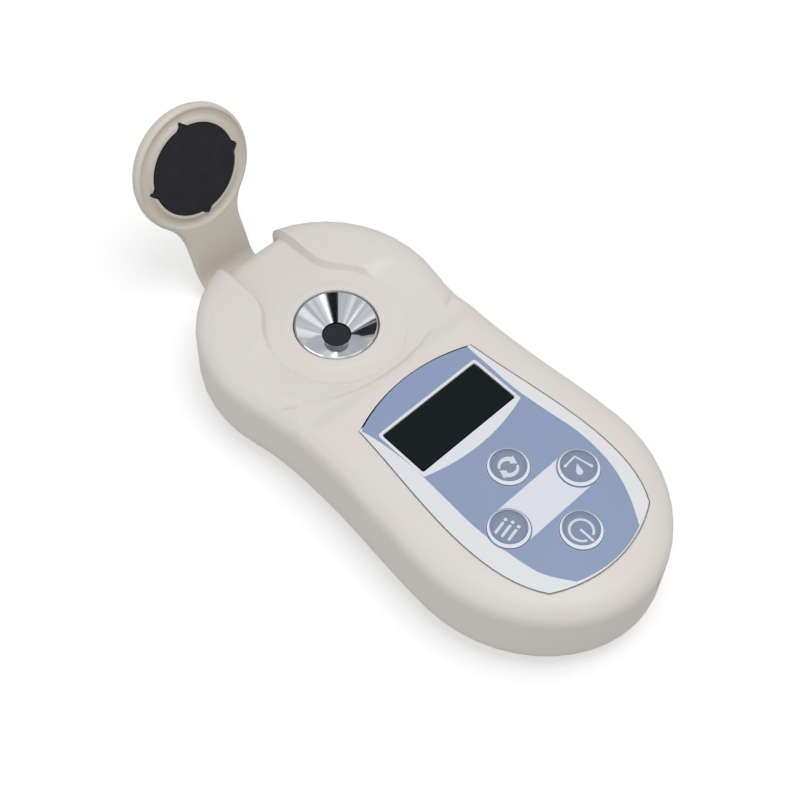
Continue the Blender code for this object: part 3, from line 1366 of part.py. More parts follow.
def battery_spring():
    """Build the cone-shaped contact spring at the battery's flat end, as one unbroken wire."""
    steps = SPRING_TURNS * (SMALL_SIDES - EDGE_STEPS)
    start_y = BATTERY_HEAD_Y - BATTERY_LENGTH - GAP - SPRING_WIRE_RADIUS
    end_y = BAY_TAIL_Y + GAP + SPRING_WIRE_RADIUS
    curve = bpy.data.curves.new("battery_spring", "CURVE")
    curve.dimensions = "3D"
    curve.bevel_depth = SPRING_WIRE_RADIUS
    curve.bevel_resolution = 1
    curve.use_fill_caps = True
    spline = curve.splines.new("POLY")
    spline.points.add(steps)
    for step, point in enumerate(spline.points):
        share = step / steps
        angle = math.radians(360.0) * SPRING_TURNS * share
        radius = blend(SPRING_SMALL_RADIUS, SPRING_LARGE_RADIUS, share)
        point.co = (radius * math.cos(angle), blend(start_y, end_y, share), BATTERY_Z + radius * math.sin(angle), 1.0)
    item = bpy.data.objects.new("battery_spring", curve)
    CUTTERS.objects.link(item)
    return finish(welded_mesh(item), CONTACT_METAL)


def build():
    """Build every piece of the instrument, the housings first and what moves on its own joint."""
    upper_housing()
    lower_housing()
    for name, (x, y) in screw_places().items():
        screw(name, x, y)
    keypad_overlay()
    display_window()
    display_module()
    main_board()
    for name, (x, y) in key_places().items():
        key(name, x, y)
        switch(name.replace("key", "switch"), x, y)
    battery()
    battery_plate()
    battery_spring()
    battery_door(joint_empty("door_slide", (0.0, DOOR_HEAD_Y, 0.0)))
    sample_well()
    well_seal()
    prism()
    prism_holder()
    light_source()
    line_sensor()
    sensor_board()
    temperature_sensor()
    hinge_pin()
    hinge = joint_empty("lid_hinge", (0.0, HINGE_Y, HINGE_Z))
    lid(hinge)
    lid_pad(hinge)
    hinge.rotation_euler = (-OPEN_ANGLE, 0.0, 0.0)


build()
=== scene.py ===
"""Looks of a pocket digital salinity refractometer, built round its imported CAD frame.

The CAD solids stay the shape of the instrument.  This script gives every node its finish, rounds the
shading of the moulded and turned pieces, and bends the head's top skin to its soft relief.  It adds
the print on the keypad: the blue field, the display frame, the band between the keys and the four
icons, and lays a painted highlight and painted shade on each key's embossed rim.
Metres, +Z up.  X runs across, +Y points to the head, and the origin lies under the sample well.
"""

import logging
import math
from dataclasses import dataclass, field
from enum import Enum

import bmesh
import bpy
import numpy as np
from mathutils import Matrix, Vector
from mathutils.geometry import tessellate_polygon


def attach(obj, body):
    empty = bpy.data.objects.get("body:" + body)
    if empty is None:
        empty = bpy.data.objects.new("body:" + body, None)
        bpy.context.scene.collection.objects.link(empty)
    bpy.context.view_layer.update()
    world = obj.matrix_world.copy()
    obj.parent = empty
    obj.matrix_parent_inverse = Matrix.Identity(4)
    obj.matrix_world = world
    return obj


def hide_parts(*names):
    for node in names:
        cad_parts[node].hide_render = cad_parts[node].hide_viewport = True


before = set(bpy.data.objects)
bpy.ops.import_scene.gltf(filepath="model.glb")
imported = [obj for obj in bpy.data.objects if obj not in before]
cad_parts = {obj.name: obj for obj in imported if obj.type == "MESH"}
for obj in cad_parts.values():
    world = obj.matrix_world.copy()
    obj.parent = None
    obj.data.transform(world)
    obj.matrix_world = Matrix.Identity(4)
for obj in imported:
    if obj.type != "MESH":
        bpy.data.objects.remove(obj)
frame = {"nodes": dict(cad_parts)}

LOG = logging.getLogger("refractometer")
MM = 0.001
WELD = 0.000001
CUT_SNAP = 0.00001
CREASE = math.radians(33.0)
BUMP_STRENGTH = 0.6
EDGE_SAMPLES = 6
MIX_FIRST, MIX_SECOND, MIX_RESULT = 6, 7, 2
CORNER_STEPS = 7
WHITE = (1.0, 1.0, 1.0, 1.0)

MADE_FINISHES: dict[str, bpy.types.Material] = {}

Ring = np.ndarray
Colour = tuple[int, int, int]


def linear(colour: Colour) -> tuple[float, float, float, float]:
    """Turn a screen colour into the linear colour that the shaders use.

    Formula: c/12.92 below 0.04045, and ((c + 0.055)/1.055) to the power 2.4 above it.

    Args:
        colour: Red, green and blue from 0 to 255.

    Returns:
        Linear red, green, blue and an alpha of one.
    """
    share = np.asarray(colour, float) / 255.0
    value = np.where(share <= 0.04045, share / 12.92, ((share + 0.055) / 1.055) ** 2.4)
    return (*(float(part) for part in value), 1.0)


class Effect(Enum):
    """The shader node groups that finishes share."""

    GRAIN = "moulded_grain"
    TURNING = "turned_lines_and_painted_fans"
    WEAVE = "board_weave"


@dataclass
class NodeBench:
    """Places and joins shader nodes in one node tree."""

    tree: bpy.types.NodeTree

    def add(self, kind: str, **values: object) -> bpy.types.Node:
        """Add one node and set its own properties.

        Args:
            kind: Blender's name of the node type.
            values: Properties of the node, by name.

        Returns:
            The new node.
        """
        node = self.tree.nodes.new(kind)
        for name, value in values.items():
            setattr(node, name, value)
        return node

    def join(self, source: bpy.types.NodeSocket, node: bpy.types.Node, socket: str | int) -> None:
        """Join an output to the input of a node that has the given name or number."""
        self.tree.links.new(source, node.inputs[socket])

    def math(self, operation: str, first: object, second: object = 0.0,
             third: object = 0.0) -> bpy.types.NodeSocket:
        """Add a Math node.

        Args:
            operation: Blender's name of the operation.
            first: A socket or a number.
            second: A socket or a number.
            third: A socket or a number.

        Returns:
            The value that the node puts out.
        """
        node = self.add("ShaderNodeMath", operation=operation)
        for slot, value in enumerate((first, second, third)):
            if isinstance(value, bpy.types.NodeSocket):
                self.tree.links.new(value, node.inputs[slot])
            else:
                node.inputs[slot].default_value = value
        return node.outputs[0]

    def noise(self, place: bpy.types.NodeSocket, scale: object,
              detail: float = 2.0) -> bpy.types.NodeSocket:
        """Add a Noise texture read at a place, and return its value from 0 to 1."""
        node = self.add("ShaderNodeTexNoise")
        node.inputs["Detail"].default_value = detail
        self.join(place, node, "Vector")
        if isinstance(scale, bpy.types.NodeSocket):
            self.join(scale, node, "Scale")
        else:
            node.inputs["Scale"].default_value = scale
        return node.outputs["Fac"]

    def blend(self, first: bpy.types.NodeSocket, second: bpy.types.NodeSocket,
              share: float) -> bpy.types.NodeSocket:
        """Return a share of the first value plus the rest of the second."""
        return self.math("MULTIPLY_ADD", first, share, self.math("MULTIPLY", second, 1.0 - share))

    def raised(self, wave: bpy.types.NodeSocket) -> bpy.types.NodeSocket:
        """Bring a wave between -1 and 1 to between 0 and 1."""
        return self.math("MULTIPLY_ADD", wave, 0.5, 0.5)

    def place(self) -> tuple[bpy.types.NodeSocket, bpy.types.Node]:
        """Read the place on the piece.

        Returns:
            The place in metres, and the node that splits it into X, Y and Z.
        """
        place = self.add("ShaderNodeTexCoord").outputs["Object"]
        parts = self.add("ShaderNodeSeparateXYZ")
        self.join(place, parts, "Vector")
        return place, parts

    def ramp(self, value: bpy.types.NodeSocket, source: tuple[float, float],
             target: tuple[float, float]) -> bpy.types.NodeSocket:
        """Ease a value from one range into another by a smooth step.

        Args:
            value: The value.
            source: Start and end of the range that it comes from.
            target: What is put out at that start and at that end.

        Returns:
            The eased value.
        """
        node = self.add("ShaderNodeMapRange", interpolation_type="SMOOTHSTEP")
        names = ("From Min", "From Max", "To Min", "To Max")
        for name, number in zip(names, (*source, *target)):
            node.inputs[name].default_value = number
        self.join(value, node, "Value")
        return node.outputs["Result"]


def new_group(effect: Effect,
              inputs: dict[str, float]) -> tuple[NodeBench, bpy.types.Node, bpy.types.Node]:
    """Make an effect's node group, which puts out Shade, Spread and Height.

    Args:
        effect: The effect that the group makes.
        inputs: Names of the group's number inputs and their usual values.

    Returns:
        The group's bench, its input node and its output node.
    """
    tree = bpy.data.node_groups.new(effect.value, "ShaderNodeTree")
    for name, value in inputs.items():
        socket = tree.interface.new_socket(name, in_out="INPUT", socket_type="NodeSocketFloat")
        socket.default_value = value
    for name in ("Shade", "Spread", "Height"):
        tree.interface.new_socket(name, in_out="OUTPUT", socket_type="NodeSocketFloat")
    bench = NodeBench(tree)
    return bench, bench.add("NodeGroupInput"), bench.add("NodeGroupOutput")


def grain_group() -> None:
    """Build the grain of moulded plastic and rubber: fine pits, with slow clouds of shade."""
    bench, given, put = new_group(Effect.GRAIN, {"Scale": 2600.0, "Cloud Scale": 70.0})
    place, _ = bench.place()
    fine = bench.noise(place, given.outputs["Scale"], detail=3.0)
    cloud = bench.noise(place, given.outputs["Cloud Scale"], detail=4.0)
    coarse_scale = bench.math("MULTIPLY", given.outputs["Scale"], 0.35)
    coarse = bench.noise(place, coarse_scale, detail=2.0)
    bench.join(cloud, put, "Shade")
    bench.join(bench.blend(fine, cloud, 0.6), put, "Spread")
    bench.join(bench.blend(fine, coarse, 0.7), put, "Height")


def turning_group() -> None:
    """Build the fine rings that a lathe leaves, the sine of the radius, as bump, and painted reflection
    fans: noise along the ring that shades the colour.
    """
    bench, given, put = new_group(Effect.TURNING, {"Scale": 9000.0, "Cloud Scale": 120.0})
    place, parts = bench.place()
    across = bench.math("POWER", parts.outputs["X"], 2.0)
    along = bench.math("POWER", parts.outputs["Y"], 2.0)
    radius = bench.math("SQRT", bench.math("ADD", across, along))
    lines = bench.math("SINE", bench.math("MULTIPLY", radius, given.outputs["Scale"]))
    angle = bench.math("ARCTAN2", parts.outputs["Y"], parts.outputs["X"])
    # Noise read by the angle about the axis paints radial reflection fans into the colour through the
    # Shade output.
    painted_fan_angle = bench.add("ShaderNodeCombineXYZ")
    bench.join(angle, painted_fan_angle, "X")
    painted_fan_scale = 3.2
    bench.join(bench.noise(painted_fan_angle.outputs["Vector"], painted_fan_scale, detail=3.0), put, "Shade")
    bench.join(bench.noise(place, given.outputs["Cloud Scale"], detail=3.0), put, "Spread")
    bench.join(bench.raised(lines), put, "Height")


def weave_group() -> None:
    """Build the cloth that shows through a circuit board: crossed sine waves of one pitch."""
    bench, given, put = new_group(Effect.WEAVE, {"Scale": 7000.0, "Cloud Scale": 150.0})
    place, parts = bench.place()
    warp = bench.math("SINE", bench.math("MULTIPLY", parts.outputs["X"], given.outputs["Scale"]))
    weft = bench.math("SINE", bench.math("MULTIPLY", parts.outputs["Y"], given.outputs["Scale"]))
    crossed = bench.raised(bench.math("MULTIPLY", warp, weft))
    cloud = bench.noise(place, given.outputs["Cloud Scale"], detail=3.0)
    bench.join(bench.blend(crossed, cloud, 0.5), put, "Shade")
    bench.join(cloud, put, "Spread")
    bench.join(crossed, put, "Height")


@dataclass(frozen=True)
class Finish:
    """One finish of the instrument, as a procedural material.

    Args:
        name: Plain name of the finish.
        colour: Screen colour where the surface is at its lightest.
        shade: Screen colour in the clouds of the effect; on turned metal, along its painted reflection
            fans.
        roughness: Lowest and highest roughness.
        effect: The shared effect that varies it.
        scale: Pattern scale of the effect, per metre.
        clouds: Scale of the slow clouds, per metre.
        relief: Height of the bump, in metres.
        edge: Radius over which edges are shaded round, in metres.
        metallic: Share of metal.
        specular: Specular level.
        transmission: Share of light let through.
    """

    name: str
    colour: Colour
    shade: Colour
    roughness: tuple[float, float]
    effect: Effect = Effect.GRAIN
    scale: float = 2600.0
    clouds: float = 70.0
    relief: float = 0.00001
    edge: float = 0.0
    metallic: float = 0.0
    specular: float = 0.5
    transmission: float = 0.0

    def build(self) -> bpy.types.Material:
        """Make the material, or return it where it has been made before.

        Returns:
            The finished material.
        """
        if self.name in MADE_FINISHES:
            return MADE_FINISHES[self.name]
        made = bpy.data.materials.new("finish_" + self.name)
        MADE_FINISHES[self.name] = made
        made.use_nodes = True
        made.diffuse_color = linear(self.colour)
        bench = NodeBench(made.node_tree)
        shader = made.node_tree.nodes["Principled BSDF"]
        shader.inputs["Metallic"].default_value = self.metallic
        shader.inputs["Specular IOR Level"].default_value = self.specular
        shader.inputs["Transmission Weight"].default_value = self.transmission
        group = bench.add("ShaderNodeGroup", node_tree=bpy.data.node_groups[self.effect.value])
        group.inputs["Scale"].default_value = self.scale
        group.inputs["Cloud Scale"].default_value = self.clouds
        tint = bench.add("ShaderNodeMix", data_type="RGBA")
        tint.inputs[MIX_FIRST].default_value = linear(self.colour)
        tint.inputs[MIX_SECOND].default_value = linear(self.shade)
        bench.join(group.outputs["Shade"], tint, 0)
        bench.join(tint.outputs[MIX_RESULT], shader, "Base Color")
        low, high = self.roughness
        rough = bench.math("MULTIPLY_ADD", group.outputs["Spread"], high - low, low)
        bench.join(rough, shader, "Roughness")
        bump = bench.add("ShaderNodeBump")
        bump.inputs["Distance"].default_value = self.relief
        bump.inputs["Strength"].default_value = BUMP_STRENGTH
        bench.join(group.outputs["Height"], bump, "Height")
        if self.edge > 0.0:
            rounded = bench.add("ShaderNodeBevel", samples=EDGE_SAMPLES)
            rounded.inputs["Radius"].default_value = self.edge
            bench.join(rounded.outputs["Normal"], bump, "Normal")
        bench.join(bump.outputs["Normal"], shader, "Normal")
        return made


def film(name: str, colour: Colour, shade: Colour, roughness: tuple[float, float] = (0.34, 0.44),
         edge: float = 0.0) -> Finish:
    """Return the finish of a film of print, of a key's face or of a rim's painted highlight and painted
    shade, which has a very fine, flat grain.
    """
    return Finish(name, colour, shade, roughness, scale=5200.0, relief=0.000004, edge=edge)


class Look(Enum):
    """The finishes of this instrument."""

    HOUSING = Finish("housing_plastic", (221, 217, 212), (217, 211, 206), (0.40, 0.54), edge=0.0006)
    BASE = Finish("base_plastic", (214, 210, 205), (208, 202, 197), (0.42, 0.56), edge=0.0003)
    # Lid: the housing's plastic with painted shade, darker and warmer, as its open inner face looks in
    # shade.
    LID_PAINTED_SHADE = Finish("lid_plastic", (212, 205, 194), (206, 199, 187), (0.40, 0.52), edge=0.00035)
    PAD = Finish("pad_foam", (44, 44, 48), (33, 33, 37), (0.80, 0.95), scale=3800.0, clouds=260.0,
                 relief=0.00006, specular=0.25)
    OVERLAY = film("overlay_white", (226, 227, 230), (221, 222, 226))
    FIELD = film("print_blue", (138, 155, 185), (134, 151, 181), (0.36, 0.46))
    PRINT_WHITE = film("print_white", (224, 227, 232), (219, 222, 229))
    BAND = film("print_band", (220, 223, 231), (216, 219, 228))
    # Key rims: a painted highlight and painted shade, laid as crescents over the embossed rim.
    RIM_PAINTED_HIGHLIGHT = film("rim_light", (226, 230, 240), (219, 224, 236), (0.30, 0.40))
    RIM_PAINTED_SHADE = film("rim_painted_shade", (112, 124, 152), (104, 117, 146))
    ICON = film("icon_white", (212, 219, 229), (206, 213, 225))
    KEY = film("key_grey_blue", (127, 141, 165), (121, 135, 160), (0.32, 0.42), edge=0.0002)
    WINDOW = Finish("display_smoked", (28, 34, 35), (22, 29, 27), (0.10, 0.16), clouds=45.0,
                    relief=0.000001, specular=0.03)
    MODULE = Finish("display_glass", (92, 98, 86), (80, 88, 76), (0.20, 0.30), relief=0.000001)
    # Turned metal: the second colour follows the painted reflection fans of the turning effect; the lathe
    # rings are a real bump.
    WELL = Finish("turned_steel", (236, 238, 242), (206, 210, 216), (0.07, 0.12), Effect.TURNING,
                  scale=26000.0, relief=0.0000004, metallic=1.0)
    STEEL = Finish("zinc_steel", (196, 197, 200), (178, 178, 182), (0.24, 0.36), Effect.TURNING,
                   relief=0.000002, metallic=1.0)
    SEAL = Finish("seal_rubber", (40, 40, 42), (30, 30, 32), (0.60, 0.75), scale=4000.0)
    PRISM = Finish("prism_glass", (34, 37, 44), (26, 29, 36), (0.05, 0.09), clouds=300.0,
                   relief=0.0000002, specular=0.22)
    HOLDER = Finish("holder_plastic", (38, 38, 40), (28, 28, 30), (0.50, 0.65))
    LAMP = Finish("lamp_resin", (236, 228, 190), (228, 216, 170), (0.12, 0.20), relief=0.000001,
                  transmission=0.4)
    CHIP = Finish("chip_resin", (40, 40, 42), (30, 30, 31), (0.50, 0.65), scale=5000.0)
    BOARD = Finish("board_laminate", (34, 104, 62), (24, 84, 50), (0.34, 0.50), Effect.WEAVE,
                   relief=0.000004)
    CELL = Finish("cell_can", (168, 170, 174), (150, 152, 158), (0.22, 0.34), metallic=0.8,
                  relief=0.000002)
    # The contacts' second colour also follows the painted reflection fans of the turning effect.
    CONTACT = Finish("contact_metal", (214, 206, 184), (196, 186, 160), (0.20, 0.34), Effect.TURNING,
                     relief=0.000002, metallic=1.0)


def mesh_arrays(data: bpy.types.Mesh) -> tuple[np.ndarray, np.ndarray]:
    """Return a triangle mesh's points, and each triangle's three point numbers."""
    points = np.empty(len(data.vertices) * 3, np.float32)
    data.vertices.foreach_get("co", points)
    corners = np.empty(len(data.loops), np.int32)
    data.loops.foreach_get("vertex_index", corners)
    return points.reshape(-1, 3), corners.reshape(-1, 3)


def welded(node: str) -> tuple[np.ndarray, np.ndarray]:
    """Read a CAD node's triangles and merge the points that coincide.

    Formula: points are rounded to the weld distance, and equal rows become one point.

    Args:
        node: Name of the CAD node.

    Returns:
        The merged points and the triangles between them.
    """
    points, corners = mesh_arrays(frame["nodes"][node].data)
    keys = np.round(points / WELD).astype(np.int64)
    _, first, merged = np.unique(keys, axis=0, return_index=True, return_inverse=True)
    triangles = merged.reshape(-1)[corners]
    whole = (triangles != np.roll(triangles, 1, axis=1)).all(axis=1)
    return points[first], triangles[whole]


def new_piece(name: str, points: np.ndarray, faces: list, look: Look) -> bpy.types.Object:
    """Make a mesh object at the origin from points and faces.

    Args:
        name: Name of the piece.
        points: Points, one row each.
        faces: Tuples of point numbers, outward side anticlockwise.
        look: The finish of the piece.

    Returns:
        The new object.
    """
    data = bpy.data.meshes.new(name)
    data.from_pydata(points.tolist(), [], faces)
    data.materials.append(look.value.build())
    made = bpy.data.objects.new(name, data)
    bpy.context.scene.collection.objects.link(made)
    return made


def smooth_surface(node: str, body: str, look: Look,
                   shape: tuple[np.ndarray, np.ndarray] | None = None) -> bpy.types.Object:
    """Show a CAD node by a merged copy of its own shape, shaded smooth between its creases.

    Args:
        node: The CAD node that the copy stands for.
        body: The body that it rides on.
        look: Its finish.
        shape: Points and triangles to use, where the copy has been refined.

    Returns:
        The copy.
    """
    points, triangles = shape or welded(node)
    piece = new_piece(node + "_surface", points, triangles.tolist(), look)
    piece.data.shade_smooth()
    piece.data.set_sharp_from_angle(angle=CREASE)
    flats = piece.modifiers.new("flats", "WEIGHTED_NORMAL")
    flats.keep_sharp = True
    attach(piece, body)
    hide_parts(node)
    LOG.info("%s: smooth copy on %s, %d faces", piece.name, body, len(triangles))
    return piece


def dress(node: str, look: Look) -> None:
    """Give a CAD node that keeps its own mesh one finish."""
    item = frame["nodes"][node]
    item.data.materials.clear()
    item.data.materials.append(look.value.build())
    LOG.info("%s: %s", node, look.value.name)


def signed_area(ring: Ring) -> float:
    """Return the area that a ring encloses, positive where it runs anticlockwise."""
    x, y = ring.T
    return float(0.5 * np.sum(x * np.roll(y, -1) - y * np.roll(x, -1)))


def circle(centre: tuple[float, float], radius: float, steps: int = 64) -> Ring:
    """Return a circle: centre + radius (cos a, sin a), with a in equal steps."""
    angle = np.linspace(0.0, 2.0 * np.pi, steps, endpoint=False)
    return np.stack((centre[0] + radius * np.cos(angle), centre[1] + radius * np.sin(angle)), axis=1)


def arc(radius: float, start: float, end: float, steps: int = 40) -> Ring:
    """Return points on an arc about the origin between two angles in degrees."""
    angle = np.radians(np.linspace(start, end, steps))
    return np.stack((radius * np.cos(angle), radius * np.sin(angle)), axis=1)


def stroke(path: Ring, width: np.ndarray | float, cap_steps: int = 9) -> Ring:
    """Outline a pen stroke along an open path, with round ends.

    Formula: p(t) + n(t) w(t)/2 on the way out, p(t) - n(t) w(t)/2 on the way back, with n the unit
    normal of the path, and half circles of radius w/2 round both ends.

    Args:
        path: Points of the pen's path.
        width: Width of the stroke, one for all points or one each.
        cap_steps: Points on each round end.

    Returns:
        The closed outline.
    """
    along = np.gradient(path, axis=0)
    along /= np.linalg.norm(along, axis=1, keepdims=True)
    across = np.stack((-along[:, 1], along[:, 0]), axis=1)
    half = np.broadcast_to(np.asarray(width, float) / 2.0, (len(path),))[:, None]
    turn = np.linspace(0.0, np.pi, cap_steps)[1:-1, None]
    end = path[-1] + half[-1] * (np.cos(turn) * across[-1] + np.sin(turn) * along[-1])
    start = path[0] + half[0] * (-np.cos(turn) * across[0] - np.sin(turn) * along[0])
    return np.concatenate((path + across * half, end, (path - across * half)[::-1], start))


def spread_path(corners: list[tuple[float, float]], steps: int = 10) -> Ring:
    """Return points along straight runs between corners, in equal steps on each run."""
    share = np.linspace(0.0, 1.0, steps, endpoint=False)[:, None]
    places = np.asarray(corners, float)
    runs = [start + (end - start) * share for start, end in zip(places[:-1], places[1:])]
    return np.concatenate((*runs, places[-1:]))


def printed_or_painted_light(name: str, shapes: list[list[Ring]], low: float, high: float, look: Look,
            body: str) -> bpy.types.Object:
    """Build a thin closed layer from flat shapes with holes: print, and on the key rims painted highlight
    and painted shade.

    Formula: each ring's points stand at both heights; the faces between are the filled plan above,
    the same plan turned over below, and a wall of quads along every ring.

    Args:
        name: Name of the layer.
        shapes: Shapes, each an outer ring and its holes.
        low: Height of the underside.
        high: Height of the top.
        look: Its finish.
        body: The body that it rides on.

    Returns:
        The layer.
    """
    points: list[np.ndarray] = []
    faces: list[tuple[int, ...]] = []
    base = 0
    for rings in shapes:
        turned = [ring if (signed_area(ring) > 0.0) == (index == 0) else ring[::-1]
                  for index, ring in enumerate(rings)]
        plan = np.concatenate(turned)
        count = len(plan)
        lines = [[Vector((x, y, 0.0)) for x, y in ring] for ring in turned]
        fill = np.array(tessellate_polygon(lines))
        x, y = plan[fill].transpose(2, 0, 1)
        area = (x[:, 1] - x[:, 0]) * (y[:, 2] - y[:, 0]) - (x[:, 2] - x[:, 0]) * (y[:, 1] - y[:, 0])
        fill = np.where(area[:, None] > 0.0, fill, fill[:, ::-1])
        faces += (fill + base + count).tolist()
        faces += (fill[:, ::-1] + base).tolist()
        begin = base
        for ring in turned:
            here = np.arange(len(ring))
            after = np.roll(here, -1)
            wall = np.stack((here, after, after + count, here + count), axis=1) + begin
            faces += wall.tolist()
            begin += len(ring)
        for height in (low, high):
            points.append(np.column_stack((plan, np.full(count, height))))
        base += count + count
    piece = new_piece(name, np.concatenate(points), faces, look)
    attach(piece, body)
    LOG.info("%s: printed layer on %s, %d faces", name, body, len(faces))
    return piece


class Icon(Enum):
    """The common symbols on the keys."""

    REFRESH = "refresh"
    POWER = "power"
    SAMPLES = "samples"
    DROP = "drop"


@dataclass
class IconPen:
    """Draws the key symbols about the origin, in millimetres, with the head of the device upward."""

    line: float = 0.56
    power_radius: float = 2.6
    power_gap: float = 26.0
    arrow_radius: float = 2.05
    bar_length: float = 3.0
    bar_pitch: float = 1.55
    bar_tilt: float = 11.0
    power_bar: tuple[float, float] = (0.1, -3.3)
    arrow_span: tuple[float, float] = (152.0, 30.0)
    arrow_width: tuple[float, float] = (0.5, 1.25)
    arrow_tip: float = -18.0
    barb_at: float = 26.0
    barb: float = 1.1
    dot_gap: float = 1.05
    dot_radius: float = 0.42
    roof: tuple[tuple[float, float], ...] = ((-1.75, 2.35), (1.55, 2.6), (2.45, -1.5))
    roof_line: tuple[float, float] = (0.44, 0.3)
    bead_radius: float = 0.78
    bead_point: float = 1.35
    bead_pinch: float = 0.45
    bead_turn: float = 58.0
    bead_place: tuple[float, float] = (-0.55, -0.75)

    def power(self) -> list[list[Ring]]:
        """Draw an open ring with a bar through its gap.

        Returns:
            The symbol's shapes.
        """
        ring = arc(self.power_radius, self.power_gap - 90.0, 270.0 - self.power_gap, 60)
        bar = spread_path([(0.0, end) for end in self.power_bar])
        return [[stroke(ring, self.line)], [stroke(bar, self.line)]]

    def refresh(self) -> list[list[Ring]]:
        """Draw two curved arrows that chase each other.

        Formula: the shaft is an arc whose width grows from tail to head, and the head is a triangle
        whose tip leads on along the arc.

        Returns:
            The symbol's shapes.
        """
        shaft = arc(self.arrow_radius, *self.arrow_span, 30)
        width = np.linspace(*self.arrow_width, len(shaft))[:, None] / 2.0
        outward = shaft / self.arrow_radius
        tip = arc(self.arrow_radius, self.arrow_tip, self.arrow_tip, 1) + np.array([[0.1, -0.1]])
        left = arc(self.arrow_radius + self.barb, self.barb_at, self.barb_at, 1)
        right = arc(self.arrow_radius - self.barb, self.barb_at, self.barb_at, 1)
        back = (shaft - outward * width)[::-1]
        arrow = np.concatenate((shaft + outward * width, left, tip, right, back))
        return [[arrow], [-arrow]]

    def samples(self) -> list[list[Ring]]:
        """Draw three slanted bars, each with a dot beyond its end.

        Returns:
            The symbol's shapes.
        """
        tilt = math.radians(self.bar_tilt)
        along = np.array((math.cos(tilt), math.sin(tilt)))
        shapes = []
        for row in (-1.0, 0.0, 1.0):
            start = np.array((-2.2 - 0.4 * row, self.bar_pitch * row - 0.2))
            length = self.bar_length - 0.25 * abs(row)
            bar = spread_path([tuple(start), tuple(start + along * length)])
            shapes.append([stroke(bar, self.line + 0.08)])
            dot = tuple(start + along * (length + self.dot_gap))
            shapes.append([circle(dot, self.dot_radius, 24)])
        return shapes

    def drop(self) -> list[list[Ring]]:
        """Draw a bent line that thickens at its ends, over a falling drop.

        Formula of the drop: radius r, drawn out to a point where |a| is small, as
        (r cos a, r sin a) with the share (1 + cos a)/2 to the power 5 added along the point's way.

        Returns:
            The symbol's shapes.
        """
        roof = spread_path(list(self.roof))
        angle = np.linspace(0.0, 2.0 * np.pi, 40, endpoint=False)
        reach = self.bead_point * ((1.0 + np.cos(angle)) / 2.0) ** 5
        pinched = self.bead_radius * np.sin(angle) * (1.0 - self.bead_pinch * reach)
        bead = np.stack((self.bead_radius * np.cos(angle) + reach, pinched), axis=1)
        turn = math.radians(self.bead_turn)
        turned = bead @ np.array(((math.cos(turn), math.sin(turn)), (-math.sin(turn), math.cos(turn))))
        share = np.linspace(-1.0, 1.0, len(roof))
        thin, thicker = self.roof_line
        return [[stroke(roof, thin + thicker * share ** 12)], [turned + np.array(self.bead_place)]]

    def draw(self, icon: Icon) -> list[list[Ring]]:
        """Return the shapes of one symbol."""
        return getattr(self, icon.value)()


@dataclass
class Key:
    """One key: its cap, its embossed rim with painted highlight and painted shade, and its symbol.

    Args:
        body: Body and node name of the key.
        centre: Centre of the key on the panel.
        icon: Its symbol.
        rim_radius: Outer radius of the rim's crescents of painted highlight and painted shade.
        dish_z: Height of the cap's dished face.
        rim_z: Height of the cap's rim.
        film: Thickness of the thin layers: the rim's painted highlight and painted shade, and the symbol.
        lean: Direction, in degrees, of the rim's side with the painted highlight.
        shade: Width of the crescent of painted shade, and how far its hole moves from the highlight's
            side.
        light: The same of the crescent of painted highlight.
    """

    body: str
    centre: tuple[float, float]
    icon: Icon
    rim_radius: float = 0.00462
    dish_z: float = 0.0240
    rim_z: float = 0.0242
    film: float = 0.00003
    lean: float = 226.0
    shade: tuple[float, float] = (0.00034, -0.00031)
    light: tuple[float, float] = (0.00046, 0.00042)

    def crescent(self, outer: float, inner: float, shift: float) -> list[Ring]:
        """Return a ring that is thick on one side.

        Formula: a circle with a smaller circular hole whose centre moves against the thick side.

        Args:
            outer: Radius of the outside.
            inner: Radius of the hole.
            shift: How far the hole moves away from the side of the painted highlight.

        Returns:
            The outside and the hole.
        """
        way = math.radians(self.lean)
        x, y = self.centre
        hole = (x - shift * math.cos(way), y - shift * math.sin(way))
        return [circle(self.centre, outer), circle(hole, inner)]

    def build(self, pen: IconPen) -> None:
        """Dress the cap, lay painted shade and a painted highlight on its rim, and print its symbol.

        Args:
            pen: Draws the symbols.
        """
        smooth_surface(self.body, self.body, Look.KEY)
        low = self.rim_z - self.film
        # The rim's two crescents are painted light: painted shade on the upper right and a painted
        # highlight on the lower left of the embossed rim.
        width, shift = self.shade
        dark = self.crescent(self.rim_radius, self.rim_radius - width, shift)
        width, shift = self.light
        light = self.crescent(self.rim_radius + self.film, self.rim_radius - width, shift)
        printed_or_painted_light(self.body + "_rim_shade", [dark], low, self.rim_z + self.film * 0.5, Look.RIM_PAINTED_SHADE,
                self.body)
        printed_or_painted_light(self.body + "_rim_light", [light], low, self.rim_z + self.film, Look.RIM_PAINTED_HIGHLIGHT,
                self.body)
        centre = np.array(self.centre)
        shapes = [[ring * MM + centre for ring in rings] for rings in pen.draw(self.icon)]
        printed_or_painted_light(self.body + "_icon", shapes, self.dish_z - self.film, self.dish_z + self.film,
                Look.ICON, self.body)


